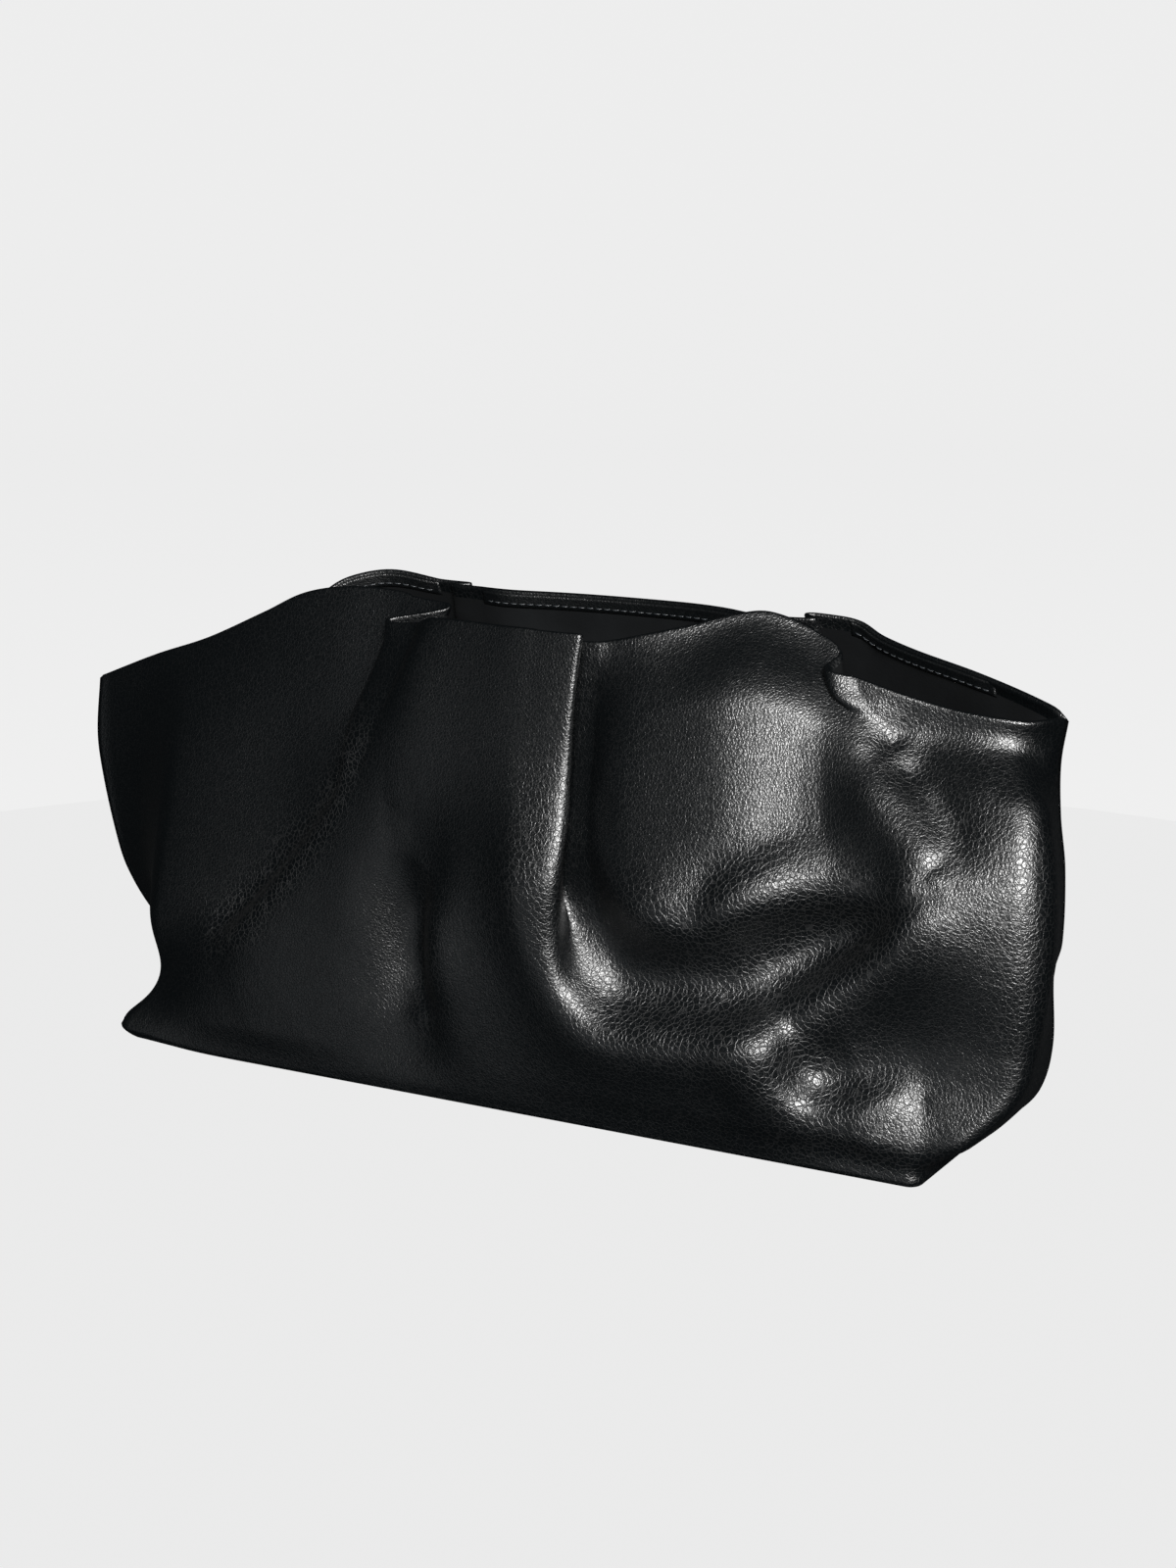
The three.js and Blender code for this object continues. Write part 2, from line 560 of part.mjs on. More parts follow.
// Smooth path of a fold: places in millimetres, with the strength as the third value
function foldPath(fold) {
  const bends = fold.path.map(([across, up, strength]) => (
    new THREE.Vector3(across * HALF_SPAN, up * BAG_HEIGHT, strength)));
  return new THREE.CatmullRomCurve3(bends, false, 'catmullrom').getPoints(bends.length * PATH_PIECES);
}

function foldShapes(panel) {
  return panel.folds.map((fold) => ({ ...fold, points: foldPath(fold) }));
}

// Nearest place on one piece of a path: its distance, its strength, and how far to the left hand it is seen
function nearestOnPiece(a, b, x, z) {
  const dx = b.x - a.x;
  const dz = b.y - a.y;
  const t = THREE.MathUtils.clamp(((x - a.x) * dx + (z - a.y) * dz) / (dx * dx + dz * dz), 0, 1);
  const offX = x - a.x - t * dx;
  const offZ = z - a.y - t * dz;
  const distance = Math.max(Math.hypot(offX, offZ), Number.EPSILON);
  const turned = (dx * offZ - dz * offX) / (Math.hypot(dx, dz) * distance);
  return { distance, strength: THREE.MathUtils.lerp(a.z, b.z, t), leftward: (1 + turned) / 2 };
}

// Smallest distance over which two pieces of a path are blended
const LEAST_BLEND = 0.4;

// Steepness of a fold's flanks
const FLANK_POWER = 1.5;

// Height of one fold at a place on the panel, blended from the pieces of its path
function foldHeight(fold, x, z) {
  const places = [];
  for (let i = 0; i + 1 < fold.points.length; i += 1) {
    places.push(nearestOnPiece(fold.points[i], fold.points[i + 1], x, z));
  }
  const nearest = Math.min(...places.map((place) => place.distance));
  const soft = fold.sharp * Math.min(fold.left, fold.right) * FOLD_WIDTH;
  let height = 0;
  let total = 0;
  for (const { distance, strength, leftward } of places) {
    const weight = Math.exp((nearest - distance) / (fold.blend * nearest + LEAST_BLEND));
    const width = THREE.MathUtils.lerp(fold.right, fold.left, leftward) * FOLD_WIDTH;
    height += weight * strength * Math.exp(-(((Math.hypot(distance, soft) - soft) / width) ** FLANK_POWER));
    total += weight;
  }
  return fold.relief * FOLD_RELIEF * height / total;
}

function foldsHeight(panel, point) {
  let height = 0;
  for (const fold of panel.foldShapes) height += foldHeight(fold, point.x, point.z);
  return height * smoothStep(BOTTOM_RADIUS, FOLD_START, point.z);
}

// Unit normal of a surface function, pointing out of the bag
function surfaceNormal(place, panel, run, height, step) {
  const low = Math.max(run - step, 0);
  const high = Math.min(run + step, 1);
  const below = Math.max(height - step, -1);
  const above = Math.min(height + step, 1);
  const sideways = place(panel, high, height).sub(place(panel, low, height));
  const upward = place(panel, run, above).sub(place(panel, run, below));
  return sideways.cross(upward).multiplyScalar(-panel.side).normalize();
}

// Steps over which the normals are taken, and how far from the side seams the folds fade
const PLAIN_STEP = 0.01;
const LEATHER_STEP = 0.004;
const SEAM_FADE = 0.05;

// The middle of the leather with its folds, but no pleats
function foldedPoint(panel, run, height) {
  const point = plainPoint(panel, run, height);
  if (height <= 0) return point;
  const normal = surfaceNormal(plainPoint, panel, run, height, PLAIN_STEP);
  const fade = smoothStep(0, SEAM_FADE, run) * smoothStep(0, SEAM_FADE, 1 - run);
  return point.addScaledVector(normal, fade * foldsHeight(panel, point));
}

// The middle of the leather with its folds and pleats
function leatherPoint(panel, run, height) {
  const point = foldedPoint(panel, run, height);
  const out = outwardPlan(run, panel.side);
  const pleat = pleatShift(panel, run, height);
  point.x += out.x * pleat.out + panel.side * out.y * pleat.forward;
  point.y += out.y * pleat.out - panel.side * out.x * pleat.forward;
  return point;
}

// Keeps a skin on its own side of the side seams
function behindSeam(point, panel, depth) {
  point.y = panel.side * Math.max(panel.side * point.y, SEAM_GAP + depth);
  return point;
}

// How much closer together the columns stand in a pleat and at a corner, and over what width
const PLEAT_CROWD = 2.4;
const PLEAT_CROWD_WIDTH = 1.2 * PLEAT_BAND;
const CORNER_CROWD = 1.5;
const CORNER_CROWD_WIDTH = 0.02;
const CROWD_SAMPLES = 2000;

function crowdAt(panel, run) {
  let crowd = 1;
  for (const pleat of panel.pleats) crowd += PLEAT_CROWD * bell(run - pleat.run, PLEAT_CROWD_WIDTH);
  for (const corner of [LEFT_CORNER, RIGHT_CORNER]) {
    crowd += CORNER_CROWD * bell(run - corner, CORNER_CROWD_WIDTH);
  }
  return crowd;
}

// Column places: even steps, with more of them in the pleats and corners
function columnRuns(panel) {
  const total = [0];
  for (let i = 0; i < CROWD_SAMPLES; i += 1) total.push(total[i] + crowdAt(panel, (i + 0.5) / CROWD_SAMPLES));
  const runs = [0];
  let k = 0;
  for (let i = 1; i < panel.columns; i += 1) {
    const target = total[CROWD_SAMPLES] * i / panel.columns;
    while (total[k + 1] < target) k += 1;
    runs.push((k + (target - total[k]) / (total[k + 1] - total[k])) / CROWD_SAMPLES);
  }
  return [...runs, 1];
}

// Rows under the base and round its edge
const UNDER_ROWS = [-1, -0.5, -0.25, 0];

// Row heights: the underside, the bottom edge's curve, the wall and, last, the two edges of the hem
function rowHeights(panel) {
  const heights = [...UNDER_ROWS];
  const hemFoot = 1 - (HEM_DROP + HEM_HEIGHT) / BAG_HEIGHT;
  for (let i = 1; i < panel.rows; i += 1) heights.push(hemFoot * i / (panel.rows - 1));
  return [...heights, 1];
}

// Closes two skins of a grid into one solid
function closedSheet(outer, inner, across, up, side) {
  const positions = [];
  for (const point of [...outer, ...inner]) positions.push(point.x, point.y, point.z);
  const index = [];
  const face = (a, b, c) => (side < 0 ? index.push(a, b, c) : index.push(a, c, b));
  const quad = (a, b, c, d) => {
    face(a, b, c);
    face(a, c, d);
  };
  const shift = outer.length;
  const id = (i, j) => i * up + j;
  for (let i = 0; i + 1 < across; i += 1) {
    for (let j = 0; j + 1 < up; j += 1) {
      const [a, b, c, d] = [id(i, j), id(i + 1, j), id(i + 1, j + 1), id(i, j + 1)];
      quad(a, b, c, d);
      quad(a + shift, d + shift, c + shift, b + shift);
    }
    quad(id(i + 1, 0), id(i, 0), id(i, 0) + shift, id(i + 1, 0) + shift);
    quad(id(i, up - 1), id(i + 1, up - 1), id(i + 1, up - 1) + shift, id(i, up - 1) + shift);
  }
  for (let j = 0; j + 1 < up; j += 1) {
    quad(id(0, j), id(0, j + 1), id(0, j + 1) + shift, id(0, j) + shift);
    quad(id(across - 1, j + 1), id(across - 1, j), id(across - 1, j) + shift, id(across - 1, j + 1) + shift);
  }
  const geometry = new THREE.BufferGeometry();
  geometry.setAttribute('position', new THREE.Float32BufferAttribute(positions, 3));
  geometry.setIndex(index);
  geometry.computeVertexNormals();
  return geometry;
}

// Both skins of a panel, column by column
function panelSkins(panel) {
  const runs = columnRuns(panel);
  const heights = rowHeights(panel);
  const skins = { runs, rows: heights.length, outer: [], inner: [], normals: [] };
  for (const run of runs) {
    for (const height of heights) {
      const point = leatherPoint(panel, run, height);
      const normal = surfaceNormal(leatherPoint, panel, run, height, LEATHER_STEP);
      const lap = LEATHER * Math.max(panel.side * normal.y, 0);
      skins.outer.push(behindSeam(point.clone().addScaledVector(normal, HALF_LEATHER), panel, lap));
      skins.inner.push(behindSeam(point.clone().addScaledVector(normal, -HALF_LEATHER), panel, 0));
      skins.normals.push(normal);
    }
  }
  return skins;
}

function panelGeometry(panel) {
  const { skins } = panel;
  return closedSheet(skins.outer, skins.inner, skins.runs.length, skins.rows, panel.side);
}

// How far from the side seams and from the middle of a pleat the hem ends
const HEM_START = 0.07;
const HEM_CLEAR = PLEAT_BAND;

// The turned hem inside the mouth: one strip for each stretch between two pleats, on the panel's inner skin

function hemGeometry(panel, from, to) {
  const { skins } = panel;
  const outer = [];
  const inner = [];
  const columns = [...skins.runs.keys()].filter((i) => skins.runs[i] >= from && skins.runs[i] <= to);
  const drop = HEM_DROP / (HEM_DROP + HEM_HEIGHT);
  for (const column of columns) {
    const top = column * skins.rows + skins.rows - 1;
    for (const share of [1, drop]) {
      const point = skins.inner[top].clone().lerp(skins.inner[top - 1], share);
      const normal = skins.normals[top].clone().lerp(skins.normals[top - 1], share).normalize();
      outer.push(point.clone().addScaledVector(normal, -CLEARANCE));
      inner.push(point.clone().addScaledVector(normal, -CLEARANCE - HEM_THICKNESS));
    }
  }
  return closedSheet(outer, inner, columns.length, 2, panel.side);
}

function hemMeshes(panel, names) {
  const bands = panel.pleats.map((pleat) => [pleat.run - HEM_CLEAR, pleat.run + HEM_CLEAR]);
  const ends = [HEM_START, ...bands.flat(), 1 - HEM_START];
  return names.map((name, i) => (
    namedMesh(name, hemGeometry(panel, ends[2 * i], ends[2 * i + 1]), HEM_COLOUR)));
}

function baseGeometry() {
  const inset = BASE_TURN + CLEARANCE;
  const plate = new THREE.BoxGeometry(BASE_LENGTH - 2 * inset, BASE_DEPTH - 2 * inset, LEATHER);
  return plate.translate(LEAN, 0, LEATHER / 2);
}

function leatherFinish(colour) {
  return new THREE.MeshStandardMaterial({ color: colour, roughness: LEATHER_ROUGHNESS, metalness: 0 });
}

function namedMesh(name, geometry, colour) {
  const mesh = new THREE.Mesh(geometry, leatherFinish(colour));
  mesh.name = name;
  return mesh;
}

// Moves the whole bag so that its origin is under the middle of its box, on the surface that it stands on
function centreOnOrigin(group) {
  const box = new THREE.Box3().setFromObject(group);
  group.position.set(-(box.min.x + box.max.x) / 2, -(box.min.y + box.max.y) / 2, -box.min.z);
  group.updateMatrixWorld(true);
  return group;
}

function makeBag() {
  for (const panel of [FRONT, BACK]) {
    panel.foldShapes = foldShapes(panel);
    panel.skins = panelSkins(panel);
  }
  const bag = new THREE.Group();
  bag.add(
    namedMesh('front_panel', panelGeometry(FRONT), LEATHER_COLOUR),
    namedMesh('back_panel', panelGeometry(BACK), LEATHER_COLOUR),
    namedMesh('base_panel', baseGeometry(), BASE_COLOUR),
    ...hemMeshes(FRONT, ['front_hem_left', 'front_hem_middle', 'front_hem_right', 'front_hem_end']),
    ...hemMeshes(BACK, ['back_hem_left', 'back_hem_middle', 'back_hem_right']),
  );
  return centreOnOrigin(bag);
}

export default makeBag();
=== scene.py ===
"""A large soft black leather pouch clutch with an open pleated mouth, standing on a pale studio floor."""

import logging
import math
from dataclasses import dataclass
from enum import Enum

import bpy
import numpy as np
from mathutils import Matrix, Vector


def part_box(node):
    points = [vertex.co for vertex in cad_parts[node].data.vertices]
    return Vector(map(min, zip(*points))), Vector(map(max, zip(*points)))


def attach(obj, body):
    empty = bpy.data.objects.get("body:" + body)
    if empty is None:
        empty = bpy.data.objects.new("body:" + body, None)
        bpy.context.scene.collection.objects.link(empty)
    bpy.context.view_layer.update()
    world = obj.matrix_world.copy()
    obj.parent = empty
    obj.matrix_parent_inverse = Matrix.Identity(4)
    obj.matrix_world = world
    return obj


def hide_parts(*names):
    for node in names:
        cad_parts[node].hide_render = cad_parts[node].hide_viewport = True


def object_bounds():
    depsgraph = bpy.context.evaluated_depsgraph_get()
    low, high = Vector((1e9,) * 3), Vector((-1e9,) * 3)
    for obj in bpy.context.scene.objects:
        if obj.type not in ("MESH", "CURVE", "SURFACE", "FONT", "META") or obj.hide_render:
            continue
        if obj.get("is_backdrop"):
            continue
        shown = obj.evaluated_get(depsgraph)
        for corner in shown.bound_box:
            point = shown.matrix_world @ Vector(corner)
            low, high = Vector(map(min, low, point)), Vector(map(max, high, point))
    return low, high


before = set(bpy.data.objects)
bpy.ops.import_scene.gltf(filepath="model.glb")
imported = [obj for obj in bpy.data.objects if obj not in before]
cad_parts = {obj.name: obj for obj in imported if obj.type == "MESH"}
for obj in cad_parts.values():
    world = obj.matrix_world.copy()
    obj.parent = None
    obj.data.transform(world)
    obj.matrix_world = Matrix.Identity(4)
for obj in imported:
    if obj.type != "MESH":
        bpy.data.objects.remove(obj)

log = logging.getLogger("pouch_clutch")

CAD_BOX = [tuple(corner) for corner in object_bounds()]
MM = 0.001


class Side(Enum):
    """Which half of the bag a panel is, as its direction along Y."""

    FRONT = -1
    BACK = 1


class End(Enum):
    """Which end of the bag a side seam is at, as its column in a pair of columns."""

    LEFT = 0
    RIGHT = 1


@dataclass(frozen=True)
class BagSizes:
    """The bag's driving sizes, in millimetres."""

    base_length: float = 306.0
    base_depth: float = 95.0
    top_span: float = 377.5
    bag_height: float = 169.0
    lean: float = 10.5
    leather: float = 1.6
    corner_radius: float = 5.0
    bottom_radius: float = 2.2
    base_turn: float = 12.0
    ear_reach: float = 6.0
    ear_lift: float = 4.0
    fold_relief: float = 10.0
    fold_width: float = 20.0
    pleat_tuck: float = 11.0
    pleat_lift: float = 2.6
    pleat_half_width: float = 12.0
    hem_height: float = 5.0
    hem_drop: float = 1.2
    hem_thickness: float = 1.0
    clearance: float = 0.3

    @property
    def panel_run(self) -> float:
        """Length of a panel's foot, from side seam to side seam."""
        return self.base_length + self.base_depth

    @property
    def corner_share(self) -> float:
        """Where the base's corner stands, as a share of the panel's foot."""
        return self.base_depth / 2 / self.panel_run

    @property
    def pleat_band(self) -> float:
        """Half width of a pleat, as a share of the panel's foot."""
        return self.pleat_half_width / self.panel_run


SIZES = BagSizes()


def along(table: np.ndarray, column: int, at: np.ndarray) -> np.ndarray:
    """Smooth curve through one column of a table.

    Args:
        table: rows whose first column rises.
        column: the column to follow.
        at: places along the first column.

    Returns:
        The column's value at each place.
    """
    keys, values = table[:, 0], table[:, column]
    last = len(keys) - 1
    i = np.clip(np.searchsorted(keys, at, side="left") - 1, 0, last - 1)

    def slope(j: np.ndarray) -> np.ndarray:
        """The curve's slope at row j."""
        a, b = np.maximum(j - 1, 0), np.minimum(j + 1, last)
        return (values[b] - values[a]) / (keys[b] - keys[a])

    width = keys[i + 1] - keys[i]
    t = (at - keys[i]) / width
    t2, t3 = t * t, t * t * t
    return (
        (2 * t3 - 3 * t2 + 1) * values[i]
        + (t3 - 2 * t2 + t) * width * slope(i)
        + (3 * t2 - 2 * t3) * values[i + 1]
        + (t3 - t2) * width * slope(i + 1)
    )


def smooth_step(start: float, end: float, value: np.ndarray) -> np.ndarray:
    """Eases from 0 at start to 1 at end.

    Args:
        start: where it leaves 0.
        end: where it reaches 1.
        value: the places to ease.

    Returns:
        The eased share at each place.
    """
    t = np.clip((value - start) / (end - start), 0.0, 1.0)
    return t * t * (3 - 2 * t)


def bell(distance: np.ndarray, width: float) -> np.ndarray:
    """A smooth bump of height 1 and the given half width."""
    return np.exp(-((distance / width) ** 2))


def catmull_rom(points: np.ndarray, steps: int) -> np.ndarray:
    """A smooth path through points.

    Args:
        points: the bends, one row each.
        steps: how many pieces to cut each stretch into.

    Returns:
        The path's points, one row each.
    """
    padded = np.vstack([2 * points[0] - points[1], points, 2 * points[-1] - points[-2]])
    path = []
    for k in range(1, len(padded) - 2):
        p0, p1, p2, p3 = padded[k - 1 : k + 3]
        for t in np.arange(steps) / steps:
            path.append(
                0.5 * (2 * p1 + (p2 - p0) * t + (2 * p0 - 5 * p1 + 4 * p2 - p3) * t * t
                       + (3 * p1 - p0 - 3 * p2 + p3) * t ** 3)
            )
    path.append(padded[-2])
    return np.array(path)


@dataclass(frozen=True)
class Hollow:
    """A soft hollow in a gusset: its place, half sizes and depth, as shares."""

    run: float
    height: float
    wide: float
    tall: float
    depth: float


@dataclass(frozen=True)
class Pleat:
    """A knife pleat sewn into the mouth.

    run is its place at the rim, slant and bow how far it has moved at the base and at half height, over is
    +1 where its right side lies on top, and reach the share of the height over which it opens out. plateau and
    fall shape how its layers lift, and swing_peak is the height of its plain sideways curve.
    """

    run: float
    slant: float
    bow: float
    over: int
    tuck: float
    lift: float
    reach: float
    plateau: float = 0.6
    fall: float = 2.2
    swing_peak: float = 0.286

    def shift(self, run: np.ndarray, height: np.ndarray) -> tuple[np.ndarray, np.ndarray]:
        """How far the pleat moves the leather.

        Args:
            run: share of the panel's foot.
            height: share of the wall's height.

        Returns:
            The shift along the panel and the shift outward, in millimetres.
        """
        middle = self.run + self.slant * (1 - height) + self.bow * 4 * height * (1 - height)
        q = (run - middle) / SIZES.pleat_band
        opened = smooth_step(1 - self.reach, 1 - self.reach / 2, height)
        inside = np.abs(q) < 1
        swing = np.where(inside, q * (1 - q * q) ** 2 / self.swing_peak, 0.0)
        beyond = np.maximum(np.abs(q) - self.plateau, 0)
        layers = np.sin(np.pi / 2 * np.clip(q / self.plateau, -1, 1)) * bell(beyond, self.fall)
        forward = -opened * self.tuck * SIZES.pleat_tuck * swing
        out = opened * self.lift * SIZES.pleat_lift * self.over * layers
        return forward, out


@dataclass(frozen=True)
class Fold:
    """A ridge (relief above 0) or valley of a panel.

    relief is a share of the fold relief, left and right are its widths on each hand along the path, as shares
    of the fold width, sharp is how wide its crest is, blending how softly its stretches join, decay how it dies
    away, and path holds across, up and strength at each bend, with steps between two bends.
    """

    name: str
    relief: float
    left: float
    right: float
    path: tuple[tuple[float, float, float], ...]
    sharp: float = 0.25
    blending: float = 0.3
    steps: int = 4
    decay: float = 1.5

    def height(self, x: np.ndarray, z: np.ndarray) -> np.ndarray:
        """Height of the fold at places on the panel.

        Args:
            x: places along the bag, in millimetres.
            z: places up the bag, in millimetres.

        Returns:
            The height at each place, in millimetres.
        """
        scale = np.array([SIZES.top_span / 2, SIZES.bag_height, 1.0])
        points = catmull_rom(np.array(self.path) * scale, self.steps)
        near_by = []
        for a, b in zip(points[:-1], points[1:]):
            dx, dz = b[0] - a[0], b[1] - a[1]
            t = np.clip(((x - a[0]) * dx + (z - a[1]) * dz) / (dx * dx + dz * dz), 0, 1)
            off_x, off_z = x - a[0] - t * dx, z - a[1] - t * dz
            distance = np.hypot(off_x, off_z)
            sideways = (dx * off_z - dz * off_x) / (math.hypot(dx, dz) * np.maximum(distance, 1e-6))
            near_by.append((distance, a[2] + (b[2] - a[2]) * t, sideways))
        nearest = np.minimum.reduce([distance for distance, _, _ in near_by])
        total, height = np.zeros(x.shape), np.zeros(x.shape)
        for distance, strength, sideways in near_by:
            weight = np.exp((nearest - distance) / (self.blending * nearest + 0.4))
            hand = self.right + (self.left - self.right) * (1 + sideways) / 2
            soft = self.sharp * min(self.left, self.right) * SIZES.fold_width
            reach = (np.hypot(distance, soft) - soft) / (hand * SIZES.fold_width)
            height += weight * strength * np.exp(-(reach ** self.decay))
            total += weight
        return self.relief * SIZES.fold_relief * height / total


# The mouth's edge: run along the panel, across as a share of half the span, out of the mouth depth, up the
# height, and roll, the share of the mouth depth by which the edge itself leans in
FRONT_RIM = np.array([
    (0.000, -1.000, 0.00, 0.734, 0.00), (0.075, -0.835, 0.18, 0.802, 0.00), (0.150, -0.688, 0.30, 0.856, 0.00),
    (0.215, -0.542, 0.41, 0.925, 0.00), (0.275, -0.441, 0.46, 0.975, 0.00), (0.320, -0.340, 0.50, 0.996, 0.00),
    (0.375, -0.229, 0.55, 0.996, 0.00), (0.405, -0.176, 0.66, 0.982, 0.04), (0.435, -0.149, 0.82, 0.950, 0.00),
    (0.470, -0.090, 0.91, 0.964, 0.00), (0.550, 0.065, 1.00, 0.964, 0.00), (0.585, 0.135, 0.99, 0.963, 0.00),
    (0.605, 0.172, 0.97, 0.959, 0.00), (0.625, 0.205, 0.93, 0.944, 0.00), (0.660, 0.249, 0.87, 0.948, 0.06),
    (0.720, 0.366, 0.80, 0.976, 0.25), (0.755, 0.434, 0.76, 0.998, 0.38), (0.785, 0.493, 0.70, 1.004, 0.42),
    (0.825, 0.580, 0.60, 0.968, 0.36), (0.845, 0.612, 0.53, 0.936, 0.20), (0.862, 0.634, 0.48, 0.919, 0.05),
    (0.885, 0.675, 0.46, 0.902, 0.00), (0.945, 0.833, 0.42, 0.859, 0.00), (0.972, 0.954, 0.36, 0.846, 0.00),
    (0.986, 0.985, 0.18, 0.845, 0.00), (1.000, 1.000, 0.00, 0.840, 0.00),
])
BACK_RIM = np.array([
    (0.000, -1.000, 0.00, 0.734, 0.00), (0.080, -0.840, 0.15, 0.781, 0.00), (0.160, -0.681, 0.30, 0.840, 0.00),
    (0.235, -0.527, 0.50, 0.935, 0.00), (0.262, -0.473, 0.70, 0.979, 0.00), (0.300, -0.388, 0.90, 1.000, 0.00),
    (0.365, -0.266, 0.85, 0.982, 0.00), (0.440, -0.120, 0.90, 0.982, 0.00), (0.580, 0.160, 1.00, 0.979, 0.00),
    (0.660, 0.324, 0.90, 0.979, 0.00), (0.735, 0.468, 0.70, 0.972, 0.00), (0.765, 0.526, 0.85, 0.974, 0.00),
    (0.785, 0.568, 0.95, 0.965, 0.00), (0.808, 0.610, 0.90, 0.944, 0.00), (0.835, 0.670, 0.80, 0.928, 0.00),
    (0.915, 0.827, 0.50, 0.897, 0.00), (0.985, 0.975, 0.10, 0.858, 0.00), (1.000, 1.000, 0.00, 0.840, 0.00),
])

# How far each end has spread from the base's edge to its top corner: height, spread
LEFT_END = np.array([
    (0.00, 0.00), (0.08, 0.06), (0.16, 0.26), (0.27, 0.58), (0.40, 0.80), (0.51, 0.90), (0.69, 1.01),
    (0.82, 1.05), (1.00, 1.00),
])
RIGHT_END = np.array([
    (0.00, 0.00), (0.07, 0.45), (0.14, 0.80), (0.25, 0.95), (0.42, 0.93), (0.49, 1.02), (0.66, 1.02),
    (0.78, 0.94), (0.90, 0.92), (1.00, 1.00),
])

# The front right corner, which folds from the base's corner towards the seam: height, run, across as a share
# of half the span, out as a share of half the base's depth
CORNER_LINE = np.array([
    (0.00, 0.882, 0.866, 0.98), (0.10, 0.905, 0.940, 0.95), (0.20, 0.935, 1.004, 0.84),
    (0.30, 0.950, 1.020, 0.78), (0.50, 0.957, 1.030, 0.76), (0.75, 0.962, 1.014, 0.64),
    (0.90, 0.967, 0.984, 0.44), (1.00, 0.972, 0.954, 0.27),
])

# How the panels bulge between base and mouth: run, share of that side's belly
FRONT_BULGE = np.array([
    (0.00, 0.0), (0.06, 0.5), (0.12, 0.3), (0.25, 0.6), (0.42, 1.0), (0.62, 0.9), (0.75, 1.0), (0.82, 0.2),
    (0.92, 0.1), (1.00, 0.0),
])
BACK_BULGE = np.array([
    (0.00, 0.0), (0.07, 0.7), (0.12, 0.4), (0.30, 1.0), (0.50, 0.8), (0.70, 1.1), (0.88, 0.5), (0.94, 0.8),
    (1.00, 0.0),
])

FRONT_HOLLOWS = (
    Hollow(run=0.115, height=0.16, wide=0.045, tall=0.10, depth=0.75),
    Hollow(run=0.030, height=0.20, wide=0.035, tall=0.14, depth=0.60),
    Hollow(run=0.250, height=0.62, wide=0.100, tall=0.26, depth=0.65),
)
BACK_HOLLOWS = (
    Hollow(run=0.115, height=0.16, wide=0.045, tall=0.10, depth=0.60),
    Hollow(run=0.030, height=0.20, wide=0.035, tall=0.14, depth=0.60),
)

FRONT_PLEATS = (
    Pleat(run=0.420, slant=-0.19, bow=0.0, over=1, tuck=1.0, lift=0.8, reach=0.45),
    Pleat(run=0.610, slant=0.01, bow=-0.025, over=-1, tuck=0.9, lift=0.9, reach=0.76, plateau=0.25),
    Pleat(run=0.853, slant=0.02, bow=0.0, over=1, tuck=0.35, lift=0.4, reach=0.10),
)
BACK_PLEATS = (
    Pleat(run=0.385, slant=-0.05, bow=0.0, over=-1, tuck=0.6, lift=0.7, reach=0.45),
    Pleat(run=0.750, slant=0.05, bow=0.0, over=1, tuck=0.6, lift=0.7, reach=0.45),
)

